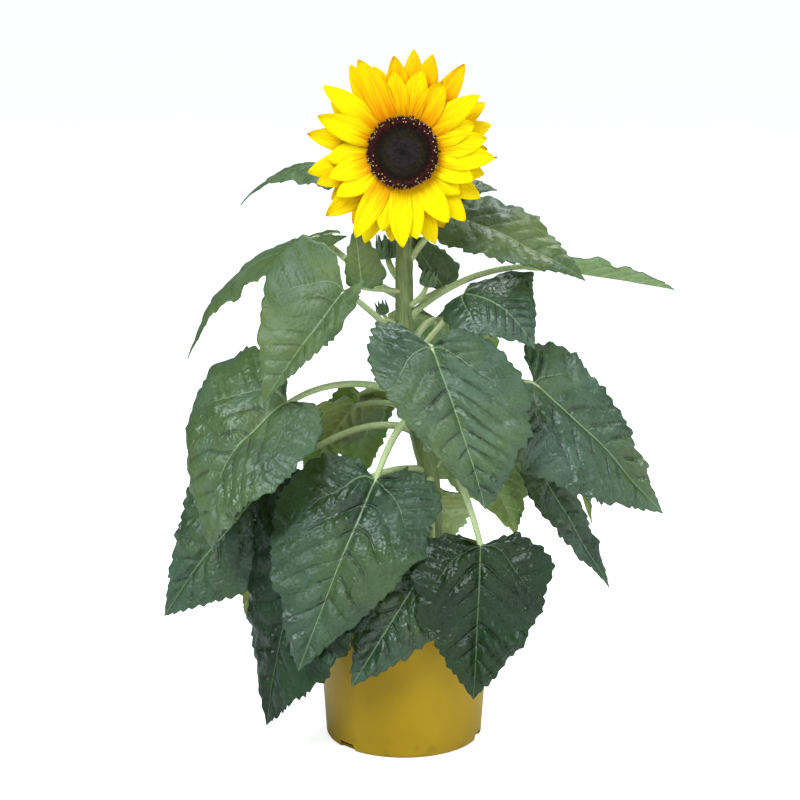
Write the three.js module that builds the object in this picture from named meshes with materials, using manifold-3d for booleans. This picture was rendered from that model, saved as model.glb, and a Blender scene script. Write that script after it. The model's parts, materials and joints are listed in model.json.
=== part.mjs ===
// A potted dwarf sunflower: a plastic pot, its soil, one leaning stem, heart-shaped leaves on long
// stalks, three flower buds and one open bloom that looks straight out along -Y.
// Millimetres, +Z up. The origin is the middle of the pot's flat underside, on the ground.
// Bearings are degrees in plan, anticlockwise from +X, so -90 is the front and 90 the back.

import * as THREE from "three";
import { mergeVertices } from "three/addons/utils/BufferGeometryUtils.js";
import Module from "manifold-3d";

const wasm = await Module();
wasm.setup();

const CLEARANCE = 0.3; // gap between touching pieces

const POT = {
  height: 140,
  rimRadius: 70,
  footRadius: 59,
  wall: 2,
  floor: 2.5,
  bandHeight: 13,
  bandProud: 1.6,
  heelRadius: 5,
  sides: 40,
};
const NOTCH = { count: 3, firstBearing: -137, width: 17, height: 12, depth: 9 };
const SOIL = { top: 131, edgeDip: 3, flatRadius: 46 };

const STEM = {
  flareRadius: 9.5,
  flareFall: 22, // how quickly the root flare dies away up the stem
  footRadius: 7.2,
  topRadius: 5.6,
  neckRadius: 4.8,
  neckFrom: 0.86, // share of the stem's length
  neckStraight: 12,
  sides: 10,
  steps: 20,
};
// The stem stands off the pot's middle, leans across to it, goes on upright and nods to the bloom.
const STEM_FOOT = [22, 0];
const STEM_BENDS = [
  [22, 0, 165],
  [19, 0, 200],
  [8, 0, 250],
  [1, 2, 300],
  [0, 5, 350],
  [0, 9, 400],
  [0, 8, 429],
];

const BLOOM = { x: -1, y: -33, z: 448, upwardTilt: 6.3 };
const DISC = {
  radius: 25.5,
  rootRadius: 19.3,
  rimRise: 3.6,
  rimEdge: 1.8,
  dome: 5.5,
  dimpleRadius: 6,
  dimpleDepth: 1.8,
  sides: 28,
};
const CALYX = { radius: 23, frontRadius: 21, length: 17, bracts: 11, sides: 16 };
const BRACT = { root: 16, tip: 38, width: 14, lean: 4, droop: 2.5, keel: -0.1, thickness: 1.2, level: -5 };
const RAY = { root: 18, droop: 3.4, keel: 0.1, thickness: 1.1 };
// The rows of petals, each petal as its bearing round the bloom, where 90 is the top, and its tip's radius.
const RAY_ROWS = [
  {
    name: "petals_back", width: 18.5, lean: 5, seed: 30,
    petals: [
      [-169, 69], [-160, 65], [-149, 61], [-138, 71], [-126, 62], [-115, 70], [-99, 64], [-86, 61],
      [-73, 69], [-60, 61], [-47, 66], [-31, 64], [-16, 60], [2, 60], [17, 66], [31, 68], [53, 76],
      [71, 72], [81, 73], [93, 68], [107, 64], [123, 72], [147, 63], [169, 69],
    ],
  },
  {
    name: "petals_front", width: 18, lean: 15, seed: 41,
    petals: [
      [-178, 54], [-162, 55], [-145, 56], [-121, 69], [-106, 58], [-93, 67], [-83, 62], [-58, 59],
      [-37, 50], [-20, 54], [-5, 65], [8, 60], [22, 55], [38, 67], [58, 57], [79, 60], [96, 57],
      [113, 72], [138, 73], [157, 65],
    ],
  },
];
const RAY_ROW_GAP = 2.2;
const RAY_VARIES = { width: 0.12, lean: 4 };
const RAY_RING = { inner: 15, step: 17, outer: 20, sides: 24 };
const RAY_SWELL = { rootShare: 0.12, fullness: 1.15, narrowest: 0.1 };

const BLADE = { thickness: 1.7, rows: 8, columns: 4, tipWidth: 2.2, curl: 0.2, rowBias: 1.2 };
const STALK = {
  sides: 5,
  steps: 7,
  thinnest: 1.7,
  thickest: 3.1,
  fullLength: 120, // blades this long and longer have the thickest stalks
  taper: 0.5,
  flare: 1.35,
  flareShare: 0.12,
  startPull: 0.36,
  endPull: 0.34,
  sunk: 0.1,
  keel: 1.2,
};

const GREEN = {
  leaf: new THREE.MeshStandardMaterial({ color: 0x47694a, roughness: 0.55, metalness: 0 }),
  stem: new THREE.MeshStandardMaterial({ color: 0x8fa271, roughness: 0.6, metalness: 0 }),
  bud: new THREE.MeshStandardMaterial({ color: 0x4f6f3e, roughness: 0.6, metalness: 0 }),
};
const PETAL = new THREE.MeshStandardMaterial({ color: 0xffd800, roughness: 0.5, metalness: 0 });
const SEEDS = new THREE.MeshStandardMaterial({ color: 0x2b1a18, roughness: 0.85, metalness: 0 });
const PLASTIC = new THREE.MeshStandardMaterial({ color: 0xb08a1c, roughness: 0.45, metalness: 0 });
const EARTH = new THREE.MeshStandardMaterial({ color: 0x2a1d14, roughness: 0.95, metalness: 0 });

// Every leaf: its stalk leaves the stem at height `node`, runs `out` along the bearing `toward` and
// climbs by `up`; it starts `rise` degrees above level and reaches the blade at `end` degrees. The
// blade then runs along `heading`, `dip` degrees below level, `long` by `wide`; its upper face looks
// to the bearing `faces` and `sky` degrees above level. `arch` bows the midrib by a share of its
// length, `fold` lifts the two halves in degrees, `lobe` is how far the rear lobes reach back as a
// share of the length, `uneven` makes the half on the right of the midrib the wider one and `skew`
// sets it further back.
const LEAVES = {
  leaf_front_centre: {
    stalk: { node: 275, toward: -74, out: 57, up: 36, rise: 50, end: -5 },
    blade: {
      heading: -39, dip: 66, long: 122, wide: 102, faces: -84, sky: 25,
      arch: 0.08, fold: 8, lobe: 0.13, uneven: 0.1, skew: -0.42,
    },
  },
  leaf_front_left: {
    stalk: { node: 247, toward: -116, out: 67, up: -32, rise: 15, end: -45 },
    blade: {
      heading: -152, dip: 65, long: 149, wide: 112, faces: -92, sky: 25,
      arch: 0.08, fold: 6, lobe: 0.08, uneven: -0.06, skew: 0.15,
    },
  },
  leaf_front_right_low: {
    stalk: { node: 222, toward: -63, out: 89, up: -51, rise: 40, end: -65 },
    blade: {
      heading: -106, dip: 81, long: 112, wide: 100, faces: -88, sky: 15,
      arch: 0.06, fold: 8, lobe: 0.06, uneven: 0.03, skew: 0.05,
    },
  },
  leaf_front_low: {
    stalk: { node: 200, toward: -89, out: 70, up: -40, rise: 10, end: -60 },
    blade: {
      heading: -170, dip: 58, long: 112, wide: 74, faces: -92, sky: 15,
      arch: 0.05, fold: 6, lobe: 0.1, uneven: 0, skew: 0,
    },
  },
  leaf_left_mid: {
    stalk: { node: 262, toward: -158, out: 98, up: 5, rise: 30, end: -30 },
    blade: {
      heading: -160, dip: 62, long: 124, wide: 128, faces: -134, sky: 35,
      arch: 0.22, fold: 12, lobe: 0.08, uneven: -0.12, skew: -0.3,
    },
  },
  leaf_left_low: {
    stalk: { node: 236, toward: 177, out: 98, up: -26, rise: 25, end: -35 },
    blade: {
      heading: -177, dip: 51, long: 152, wide: 110, faces: -98, sky: 30,
      arch: 0.1, fold: 6, lobe: 0.04, uneven: 0.05, skew: -0.15,
    },
  },
  leaf_left_lowest: {
    stalk: { node: 206, toward: -147, out: 92, up: -18, rise: 20, end: -40 },
    blade: {
      heading: -175, dip: 75, long: 169, wide: 120, faces: -128, sky: 12,
      arch: 0.06, fold: 6, lobe: 0.04, uneven: 0.03, skew: -0.4,
    },
  },
  leaf_left_upper: {
    stalk: { node: 305, toward: -138, out: 59, up: 44, rise: 35, end: 30 },
    blade: {
      heading: -158, dip: 51, long: 99, wide: 76, faces: -104, sky: 28,
      arch: 0.04, fold: 18, lobe: 0.12, uneven: -0.58, skew: -0.22,
    },
  },
  leaf_left_high: {
    stalk: { node: 338, toward: 164, out: 66, up: 42, rise: 12, end: 30 },
    blade: {
      heading: 180, dip: 43, long: 136, wide: 76, faces: -90, sky: 82,
      arch: 0.15, fold: -6, lobe: 0.1, uneven: -0.35, skew: 0,
    },
  },
  leaf_left_small: {
    stalk: { node: 340, toward: -138, out: 41, up: 9, rise: 25, end: 20 },
    blade: {
      heading: 130, dip: -80, long: 46, wide: 28, faces: -90, sky: 5,
      arch: 0.05, fold: 8, lobe: 0, uneven: -0.25, skew: 0,
    },
  },
  leaf_right_small: {
    stalk: { node: 330, toward: 28, out: 33, up: 12, rise: 20, end: 30 },
    blade: {
      heading: 175, dip: -56, long: 50, wide: 24, faces: -90, sky: 10,
      arch: 0.05, fold: 8, lobe: 0, uneven: -0.48, skew: 0,
    },
  },
  leaf_right_fold: {
    stalk: { node: 282, toward: -15, out: 42, up: 60, rise: 65, end: 55 },
    blade: {
      heading: -20, dip: 34, long: 66, wide: 88, faces: -60, sky: 28,
      arch: 0.24, fold: -8, lobe: 0.1, uneven: 0.3, skew: 0,
    },
  },
  leaf_right_high: {
    stalk: { node: 360, toward: 0, out: 37, up: 36, rise: 50, end: 10 },
    blade: {
      heading: -21, dip: 22, long: 108, wide: 56, faces: -90, sky: 48,
      arch: 0.08, fold: 4, lobe: 0.1, uneven: 0.14, skew: -0.1,
    },
  },
  leaf_right_far: {
    stalk: { node: 320, toward: 6, out: 90, up: 40, rise: 42, end: 0 },
    blade: {
      heading: 5, dip: 10, long: 114, wide: 70, faces: 90, sky: 80,
      arch: 0.02, fold: 28, lobe: 0.1, uneven: 0, skew: 0,
    },
  },
  leaf_right_mid: {
    stalk: { node: 262, toward: -9, out: 91, up: 14, rise: 35, end: -10 },
    blade: {
      heading: -6, dip: 45, long: 136, wide: 92, faces: -75, sky: 38,
      arch: 0.05, fold: 8, lobe: 0.12, uneven: -0.15, skew: 0.25,
    },
  },
  leaf_right_low: {
    stalk: { node: 225, toward: 14, out: 90, up: -22, rise: 35, end: -40 },
    blade: {
      heading: -19, dip: 57, long: 106, wide: 44, faces: -40, sky: 20,
      arch: 0.02, fold: 10, lobe: 0.08, uneven: 0, skew: 0,
    },
  },
  leaf_back_right_mid: {
    stalk: { node: 235, toward: 33, out: 100, up: 0, rise: 35, end: -30 },
    blade: {
      heading: -2, dip: 58, long: 99, wide: 72, faces: 10, sky: 30,
      arch: 0.06, fold: 8, lobe: 0.1, uneven: 0, skew: 0,
    },
  },
  leaf_back_right_low: {
    stalk: { node: 200, toward: 62, out: 50, up: 18, rise: 45, end: 0 },
    blade: {
      heading: 35, dip: 55, long: 101, wide: 80, faces: 70, sky: 28,
      arch: 0.08, fold: 8, lobe: 0.1, uneven: 0, skew: 0,
    },
  },
  leaf_back_left_mid: {
    stalk: { node: 247, toward: 142, out: 58, up: 2, rise: 35, end: -20 },
    blade: {
      heading: 148, dip: 56, long: 80, wide: 70, faces: 120, sky: 30,
      arch: 0.08, fold: 8, lobe: 0.1, uneven: 0, skew: 0,
    },
  },
  leaf_back_mid: {
    stalk: { node: 254, toward: 128, out: 66, up: 0, rise: 40, end: -30 },
    blade: {
      heading: 95, dip: 72, long: 86, wide: 50, faces: 95, sky: 15,
      arch: 0.08, fold: 8, lobe: 0.1, uneven: 0, skew: 0,
    },
  },
  leaf_top_left: {
    stalk: { node: 385, toward: 135, out: 41, up: 36, rise: 40, end: 10 },
    blade: {
      heading: 174, dip: 12, long: 97, wide: 50, faces: -90, sky: 84,
      arch: 0.2, fold: -6, lobe: 0.1, uneven: 0, skew: 0,
    },
  },
  leaf_top_right: {
    stalk: { node: 402, toward: 50, out: 30, up: 16, rise: 45, end: 20 },
    blade: {
      heading: 10, dip: -20, long: 54, wide: 24, faces: -90, sky: 60,
      arch: 0.08, fold: 8, lobe: 0, uneven: 0, skew: 0,
    },
  },
  leaf_top_right_low: {
    stalk: { node: 384, toward: 30, out: 32, up: 28, rise: 45, end: 20 },
    blade: {
      heading: 24, dip: 0, long: 46, wide: 24, faces: -90, sky: 60,
      arch: 0.08, fold: 8, lobe: 0, uneven: 0, skew: 0,
    },
  },
  leaf_top_back: {
    stalk: { node: 394, toward: 82, out: 34, up: 14, rise: 45, end: 0 },
    blade: {
      heading: 88, dip: 24, long: 84, wide: 62, faces: 95, sky: 60,
      arch: 0.1, fold: 8, lobe: 0.1, uneven: 0, skew: 0,
    },
  },
  leaf_back_upper: {
    stalk: { node: 290, toward: 68, out: 58, up: 22, rise: 45, end: -10 },
    blade: {
      heading: 66, dip: 50, long: 110, wide: 88, faces: 66, sky: 40,
      arch: 0.1, fold: 8, lobe: 0.1, uneven: 0, skew: 0,
    },
  },
  leaf_back_low: {
    stalk: { node: 185, toward: 98, out: 90, up: -22, rise: 25, end: -30 },
    blade: {
      heading: 98, dip: 58, long: 132, wide: 92, faces: 94, sky: 30,
      arch: 0.1, fold: 8, lobe: 0.1, uneven: 0, skew: 0,
    },
  },
  leaf_back_left_low: {
    stalk: { node: 196, toward: 151, out: 84, up: -26, rise: 30, end: -30 },
    blade: {
      heading: 152, dip: 52, long: 134, wide: 96, faces: 146, sky: 35,
      arch: 0.1, fold: 8, lobe: 0.1, uneven: 0, skew: 0,
    },
  },
};

// The buds on short side shoots: height and bearing on the stem, reach, climb and size.
const BUDS = {
  bud_left: { node: 345, toward: 120, out: 24, up: 18, rise: 35, stalkRadius: 2.4, radius: 6.5, long: 17 },
  bud_right: { node: 328, toward: -28, out: 19, up: 20, rise: 35, stalkRadius: 1.9, radius: 5, long: 12 },
  bud_low: { node: 314, toward: -165, out: 16, up: 12, rise: 35, stalkRadius: 1.5, radius: 3.6, long: 9 },
};
const BUD = { bracts: 5, sides: 8, bractThickness: 1 };

const radians = THREE.MathUtils.degToRad;
const lerp = THREE.MathUtils.lerp;

// The unit vector along a bearing, raised by an angle above level.
function direction(bearing, elevation) {
  const level = Math.cos(radians(elevation));
  return new THREE.Vector3(
    level * Math.cos(radians(bearing)),
    level * Math.sin(radians(bearing)),
    Math.sin(radians(elevation)),
  );
}

// A closed three.js geometry as a solid that can be joined and cut.
function solid(geometry) {
  const bare = geometry.clone();
  bare.deleteAttribute("normal");
  bare.deleteAttribute("uv");
  const welded = mergeVertices(bare, 1e-4);
  return new wasm.Manifold(
    new wasm.Mesh({
      numProp: 3,
      vertProperties: welded.attributes.position.array,
      triVerts: new Uint32Array(welded.index.array),
    }),
  );
}

// A solid as a named mesh of the model.
function piece(name, body, material) {
  const { numProp, vertProperties, triVerts } = body.getMesh();
  const points = new Float32Array((vertProperties.length / numProp) * 3);
  for (let i = 0; i < points.length / 3; i++) {
    points.set(vertProperties.subarray(i * numProp, i * numProp + 3), i * 3);
  }
  const geometry = new THREE.BufferGeometry();
  geometry.setAttribute("position", new THREE.BufferAttribute(points, 3));
  geometry.setIndex(new THREE.BufferAttribute(triVerts, 1));
  geometry.computeVertexNormals();
  const mesh = new THREE.Mesh(geometry, material.clone());
  mesh.name = name;
  return mesh;
}

// Moves every vertex of a geometry to where `place` puts it.
function reshape(geometry, place) {
  const position = geometry.attributes.position;
  const point = new THREE.Vector3();
  for (let i = 0; i < position.count; i++) {
    point.copy(place(point.fromBufferAttribute(position, i).clone()));
    position.setXYZ(i, point.x, point.y, point.z);
  }
  return geometry;
}

// A closed cylinder bent along a curve, its radius following `radiusAt` from the first end to the last.
function taperedLimb(curve, radiusAt, sides, steps) {
  const frames = curve.computeFrenetFrames(steps, false);
  const limb = new THREE.CylinderGeometry(1, 1, 1, sides, steps);
  return reshape(limb, (p) => {
    const share = p.y + 0.5;
    const step = Math.round(share * steps);
    const radius = radiusAt(share);
    return curve
      .getPointAt(share)
      .addScaledVector(frames.normals[step], p.z * radius)
      .addScaledVector(frames.binormals[step], p.x * radius);
  });
}

const bloomLook = direction(-90, BLOOM.upwardTilt);
const bloomCentre = new THREE.Vector3(BLOOM.x, BLOOM.y, BLOOM.z);
const calyxBack = bloomCentre.clone().addScaledVector(bloomLook, -CALYX.length - CLEARANCE);
const stemLine = new THREE.CatmullRomCurve3([
  new THREE.Vector3(...STEM_FOOT, SOIL.top + CLEARANCE),
  ...STEM_BENDS.map((bend) => new THREE.Vector3(...bend)),
  calyxBack.clone().addScaledVector(bloomLook, -STEM.neckStraight),
  calyxBack,
]);

function stemRadius(share) {
  const flare = Math.exp(-share * STEM.flareFall) * (STEM.flareRadius - STEM.footRadius);
  const neck = THREE.MathUtils.smoothstep(share, STEM.neckFrom, 1) * (STEM.topRadius - STEM.neckRadius);
  return lerp(STEM.footRadius, STEM.topRadius, share) + flare - neck;
}

// The stem's solid, or the same solid grown by a gap to cut the stalks clear of it.
function stemSolid(gap) {
  return solid(taperedLimb(stemLine, (share) => stemRadius(share) + gap, STEM.sides, STEM.steps));
}

const stemClearance = stemSolid(CLEARANCE);

// The point of the stem's centre line at a height.
function stemAt(height) {
  let low = 0;
  let high = 1;
  for (let i = 0; i < 20; i++) {
    const middle = (low + high) / 2;
    if (stemLine.getPointAt(middle).z < height) low = middle;
    else high = middle;
  }
  return stemLine.getPointAt(low);
}

// The rule of every leaf: where its stalk ends, and the frame and length of its blade.
function leafFrame({ stalk, blade }) {
  const root = stemAt(stalk.node);
  const base = root.clone().addScaledVector(direction(stalk.toward, 0), stalk.out);
  base.z += stalk.up;
  const along = direction(blade.heading, -blade.dip);
  const look = direction(blade.faces, blade.sky);
  const normal = look.addScaledVector(along, -look.dot(along)).normalize();
  const across = normal.clone().cross(along);
  return { root, base, along, normal, across };
}

// A point of the blade: `a` is the share of the length from the stalk to the tip, `b` is millimetres
// across from the midrib and `h` millimetres above the leaf's middle surface.
function bladePoint({ base, along, normal, across }, blade, a, b, h) {
  const bow = blade.arch * 4 * a * (1 - a);
  const slope = blade.arch * 4 * (1 - 2 * a);
  const up = normal.clone().addScaledVector(along, -slope).normalize();
  const fold = radians(blade.fold);
  const lift = Math.abs(b) * Math.sin(fold) - (BLADE.curl * b * b) / (blade.wide / 2);
  return base
    .clone()
    .addScaledVector(along, a * blade.long - blade.skew * b)
    .addScaledVector(normal, bow * blade.long)
    .addScaledVector(across, b * Math.cos(fold))
    .addScaledVector(up, lift + h);
}

// Half the outline of a heart-shaped leaf as (share of length, share of half width), from the notch
// at the stalk round the rear lobe to the tip.
function leafMargin(lobe) {
  return new THREE.CatmullRomCurve3([
    new THREE.Vector3(-0.3 * lobe, 0.1, 0),
    new THREE.Vector3(-lobe, 0.42, 0),
    new THREE.Vector3(0.04 - 0.7 * lobe, 0.8, 0),
    new THREE.Vector3(0.16, 1, 0),
    new THREE.Vector3(0.4, 0.88, 0),
    new THREE.Vector3(0.64, 0.58, 0),
    new THREE.Vector3(0.84, 0.25, 0),
    new THREE.Vector3(1, 0, 0),
  ]);
}

function bladeSolid(frame, blade) {
  const margin = leafMargin(blade.lobe);
  const slab = new THREE.BoxGeometry(1, 1, 1, BLADE.rows, BLADE.columns, 1);
  return solid(
    reshape(slab, (p) => {
      const share = p.x + 0.5;
      const edge = margin.getPoint(share);
      const side = p.y * 2;
      const a = lerp(Math.pow(share, BLADE.rowBias), edge.x, Math.abs(side));
      const half = (blade.wide / 2) * (1 + blade.uneven * Math.sign(side));
      const b = side * Math.max(edge.y * half, BLADE.tipWidth / 2);
      return bladePoint(frame, blade, a, b, p.z * BLADE.thickness);
    }),
  );
}

function stalkSolid(frame, { stalk, blade }) {
  const { root, base } = frame;
  const reach = base.distanceTo(root);
  const start = direction(stalk.toward, stalk.rise);
  const finish = direction(stalk.toward, stalk.end);
  const arrival = bladePoint(frame, blade, 0, 0, -STALK.keel);
  const arc = new THREE.CubicBezierCurve3(
    root,
    root.clone().addScaledVector(start, reach * STALK.startPull),
    arrival.clone().addScaledVector(finish, -reach * STALK.endPull),
    arrival,
  );
  const line = new THREE.CatmullRomCurve3([
    ...arc.getPoints(STALK.steps - 1),
    bladePoint(frame, blade, STALK.sunk, 0, -STALK.keel),
  ]);
  const thick = lerp(STALK.thinnest, STALK.thickest, Math.min(1, blade.long / STALK.fullLength));
  const radiusAt = (share) => {
    const flare = 1 + (STALK.flare - 1) * Math.max(0, 1 - share / STALK.flareShare);
    return lerp(thick, thick * STALK.taper, share) * flare;
  };
  return solid(taperedLimb(line, radiusAt, STALK.sides, STALK.steps));
}

function leaf(name, spec) {
  const frame = leafFrame(spec);
  const joined = bladeSolid(frame, spec.blade).add(stalkSolid(frame, spec));
  return piece(name, joined.subtract(stemClearance), GREEN.leaf);
}

// A seeded generator, so that the bloom is the same on every run.
function seeded(seed) {
  let state = seed;
  return () => {
    state = (state * 16807) % 2147483647;
    return state / 2147483647;
  };
}

// A lathe about the Z axis through (radius, height) pairs.
function turned(pairs, sides) {
  const outline = pairs.map(([radius, height]) => new THREE.Vector2(radius, height));
  return new THREE.LatheGeometry(outline, sides).rotateX(Math.PI / 2);
}

// The bloom is built looking along +Z from the middle of its lower petal row, then turned.
const bloomTurn = new THREE.Matrix4()
  .makeTranslation(bloomCentre)
  .multiply(new THREE.Matrix4().makeRotationX(radians(90 - BLOOM.upwardTilt)));

function inBloom(name, body, material) {
  return piece(name, body.transform(bloomTurn.elements), material);
}

// A thin pointed blade lying outwards from the bloom's axis along a bearing.
function ray({ bearing, root, tip, width, lean, droop, keel, thickness, level }) {
  const slab = new THREE.BoxGeometry(1, 1, 1, 3, 2, 1);
  const turn = direction(bearing, 0);
  const side = direction(bearing + 90, 0);
  return solid(
    reshape(slab, (p) => {
      const share = p.x + 0.5;
      const swell = Math.sin(Math.PI * lerp(RAY_SWELL.rootShare, 1, Math.pow(share, RAY_SWELL.fullness)));
      const across = p.y * width * Math.max(RAY_SWELL.narrowest, swell);
      const reach = lerp(root, tip, share);
      const rise = Math.tan(radians(lean)) * (reach - root) - droop * share * share;
      return turn
        .clone()
        .multiplyScalar(reach)
        .addScaledVector(side, across)
        .setZ(level + rise - Math.abs(across) * keel * share + p.z * thickness);
    }),
  );
}

// A row of ray petals joined by the ring they grow from.
function petalRow({ name, width, lean, seed, petals }, level) {
  const random = seeded(seed);
  const half = RAY.thickness / 2;
  const top = level + RAY_ROW_GAP - half - CLEARANCE;
  const ring = turned(
    [
      [RAY_RING.inner, level - half],
      [RAY_RING.outer, level - half],
      [RAY_RING.outer, level + half],
      [RAY_RING.step, top],
      [RAY_RING.inner, top],
      [RAY_RING.inner, level - half],
    ],
    RAY_RING.sides,
  );
  const parts = [solid(ring)];
  for (const [bearing, tip] of petals) {
    const petal = {
      ...RAY,
      bearing,
      tip,
      width: width * (1 - RAY_VARIES.width * random()),
      lean: lean + RAY_VARIES.lean * (random() - 0.5),
      level,
    };
    parts.push(ray(petal));
  }
  return inBloom(name, wasm.Manifold.union(parts), PETAL);
}

// The disc of florets: undercut at its rim so that it rests on the petals' roots, domed, dimpled.
function disc() {
  const seat = RAY_ROWS.length * RAY_ROW_GAP - RAY.thickness / 2;
  const rim = seat + DISC.rimRise;
  const crown = rim + DISC.dome;
  const face = turned(
    [
      [0, seat],
      [DISC.rootRadius, seat],
      [DISC.radius, rim],
      [DISC.radius * 0.98, rim + DISC.rimEdge],
      [DISC.radius * 0.78, lerp(rim, crown, 0.75)],
      [DISC.radius * 0.5, crown],
      [DISC.dimpleRadius, crown - CLEARANCE],
      [DISC.dimpleRadius * 0.4, crown - DISC.dimpleDepth],
      [0, crown - DISC.dimpleDepth],
    ],
    DISC.sides,
  );
  return inBloom("flower_disc", solid(face), SEEDS);
}

// The green cup behind the petals, with a ring of pointed bracts.
function calyx() {
  const front = -RAY.thickness / 2 - CLEARANCE * 1.5;
  const cup = turned(
    [
      [0, -CALYX.length],
      [STEM.neckRadius + 1, -CALYX.length],
      [CALYX.radius * 0.45, -CALYX.length * 0.82],
      [CALYX.radius * 0.8, -CALYX.length * 0.5],
      [CALYX.radius, -CALYX.length * 0.2],
      [CALYX.frontRadius, front],
      [0, front],
    ],
    CALYX.sides,
  );
  const parts = [solid(cup)];
  for (let i = 0; i < CALYX.bracts; i++) {
    parts.push(ray({ ...BRACT, bearing: (360 / CALYX.bracts) * i }));
  }
  return inBloom("flower_calyx", wasm.Manifold.union(parts), GREEN.bud);
}

// A closed bud on its side shoot: an egg of overlapping bracts whose points stand off its crown.
function bud(name, { node, toward, out, up, rise, stalkRadius, radius, long }) {
  const root = stemAt(node);
  const base = root.clone().addScaledVector(direction(toward, 0), out);
  base.z += up;
  const line = new THREE.CubicBezierCurve3(
    root,
    root.clone().addScaledVector(direction(toward, rise), out * 0.5),
    base.clone().addScaledVector(direction(toward, 75), -up * 0.5),
    base,
  );
  const stalk = taperedLimb(line, (share) => stalkRadius * lerp(1.3, 1, share), 6, 5);
  const egg = turned(
    [
      [0, -radius * 0.5],
      [radius * 0.55, -radius * 0.4],
      [radius, long * 0.3],
      [radius * 0.85, long * 0.6],
      [radius * 0.35, long * 0.85],
      [0, long * 0.9],
    ],
    BUD.sides,
  );
  const parts = [solid(egg)];
  for (let i = 0; i < BUD.bracts; i++) {
    const bearing = (360 / BUD.bracts) * i;
    const side = direction(bearing - 90, 0);
    const slab = new THREE.BoxGeometry(1, 1, 1, 2, 1, 1);
    reshape(slab, (p) => {
      const share = p.x + 0.5;
      return direction(bearing, 0)
        .multiplyScalar(radius * (0.55 + 0.55 * Math.sqrt(share)) + p.z * BUD.bractThickness)
        .addScaledVector(side, p.y * radius * (1.05 - 0.85 * share))
        .setZ(long * (0.02 + 0.95 * share));
    });
    parts.push(solid(slab));
  }
  const end = line.getTangent(1);
  const upright = new THREE.Quaternion().setFromUnitVectors(new THREE.Vector3(0, 0, 1), end);
  const stand = new THREE.Matrix4().makeTranslation(base).multiply(
    new THREE.Matrix4().makeRotationFromQuaternion(upright),
  );
  const head = wasm.Manifold.union(parts).transform(stand.elements);
  return piece(name, head.add(solid(stalk)).subtract(stemClearance), GREEN.bud);
}

const potSlope = (POT.rimRadius - POT.bandProud - POT.footRadius) / POT.height;

function potOutside(height) {
  return POT.footRadius + potSlope * height;
}

function potInside(height) {
  return potOutside(height) - POT.wall;
}

// A tapered plastic pot with a plain band under its rim and drain notches in its foot.
function pot() {
  const bandLow = POT.height - POT.bandHeight;
  const shell = turned(
    [
      [0, 0],
      [POT.footRadius - POT.heelRadius, 0],
      [POT.footRadius - POT.heelRadius * 0.3, POT.heelRadius * 0.3],
      [potOutside(POT.heelRadius), POT.heelRadius],
      [potOutside(bandLow), bandLow],
      [potOutside(bandLow) + POT.bandProud, bandLow + POT.bandProud / 2],
      [POT.rimRadius, POT.height],
      [potInside(POT.height), POT.height],
      [potInside(POT.floor), POT.floor],
      [0, POT.floor],
    ],
    POT.sides,
  );
  let body = solid(shell);
  for (let i = 0; i < NOTCH.count; i++) {
    const cutter = new THREE.BoxGeometry(NOTCH.depth, NOTCH.width, NOTCH.height);
    cutter.translate(POT.footRadius, 0, 0).rotateZ(radians(NOTCH.firstBearing + (360 / NOTCH.count) * i));
    body = body.subtract(solid(cutter));
  }
  return piece("pot", body, PLASTIC);
}

// The soil fills the pot to a finger's width below the rim and falls a little towards the wall.
function soil() {
  const low = POT.floor + CLEARANCE;
  const edge = SOIL.top - SOIL.edgeDip;
  const ball = turned(
    [
      [0, low],
      [potInside(low) - CLEARANCE, low],
      [potInside(edge) - CLEARANCE, edge],
      [SOIL.flatRadius, SOIL.top],
      [0, SOIL.top],
    ],
    POT.sides,
  );
  return piece("soil", solid(ball), EARTH);
}

const plant = new THREE.Group();
plant.name = "sunflower_plant";
plant.add(pot(), soil(), piece("stem", stemSolid(0), GREEN.stem));
plant.add(calyx(), disc());
RAY_ROWS.forEach((row, i) => plant.add(petalRow(row, RAY_ROW_GAP * i)));
for (const [name, spec] of Object.entries(BUDS)) plant.add(bud(name, spec));
for (const [name, spec] of Object.entries(LEAVES)) plant.add(leaf(name, spec));

export default plant;
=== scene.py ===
import json
import math
import random
from collections import namedtuple

import bmesh
import bpy
from mathutils import Matrix, Vector, noise

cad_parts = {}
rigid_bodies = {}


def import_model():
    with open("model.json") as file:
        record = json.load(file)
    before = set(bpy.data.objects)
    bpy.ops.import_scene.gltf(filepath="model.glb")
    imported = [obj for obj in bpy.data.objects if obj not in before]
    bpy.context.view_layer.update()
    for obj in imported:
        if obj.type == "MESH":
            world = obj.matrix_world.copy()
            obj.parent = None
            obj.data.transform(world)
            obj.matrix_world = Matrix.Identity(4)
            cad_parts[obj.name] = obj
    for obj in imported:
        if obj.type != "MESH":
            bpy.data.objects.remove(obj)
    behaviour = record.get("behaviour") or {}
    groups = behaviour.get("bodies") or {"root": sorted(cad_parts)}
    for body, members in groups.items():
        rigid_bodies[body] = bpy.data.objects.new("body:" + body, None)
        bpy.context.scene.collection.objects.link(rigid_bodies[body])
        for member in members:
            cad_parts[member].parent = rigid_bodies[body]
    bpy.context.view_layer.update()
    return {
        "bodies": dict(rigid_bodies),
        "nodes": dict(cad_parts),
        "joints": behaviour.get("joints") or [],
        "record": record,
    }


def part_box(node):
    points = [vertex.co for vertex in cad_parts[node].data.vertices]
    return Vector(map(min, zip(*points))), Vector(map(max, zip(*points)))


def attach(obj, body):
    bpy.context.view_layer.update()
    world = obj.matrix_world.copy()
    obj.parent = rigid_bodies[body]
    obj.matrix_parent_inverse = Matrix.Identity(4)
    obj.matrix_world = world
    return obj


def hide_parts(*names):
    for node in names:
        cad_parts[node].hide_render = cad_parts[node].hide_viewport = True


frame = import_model()

# The nursery pot
# A thin tapered pot, injection moulded in mustard-yellow plastic, with a plain band under a rounded
# lip and three drain notches through its foot. It stands on its flat foot and holds the soil.

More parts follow.
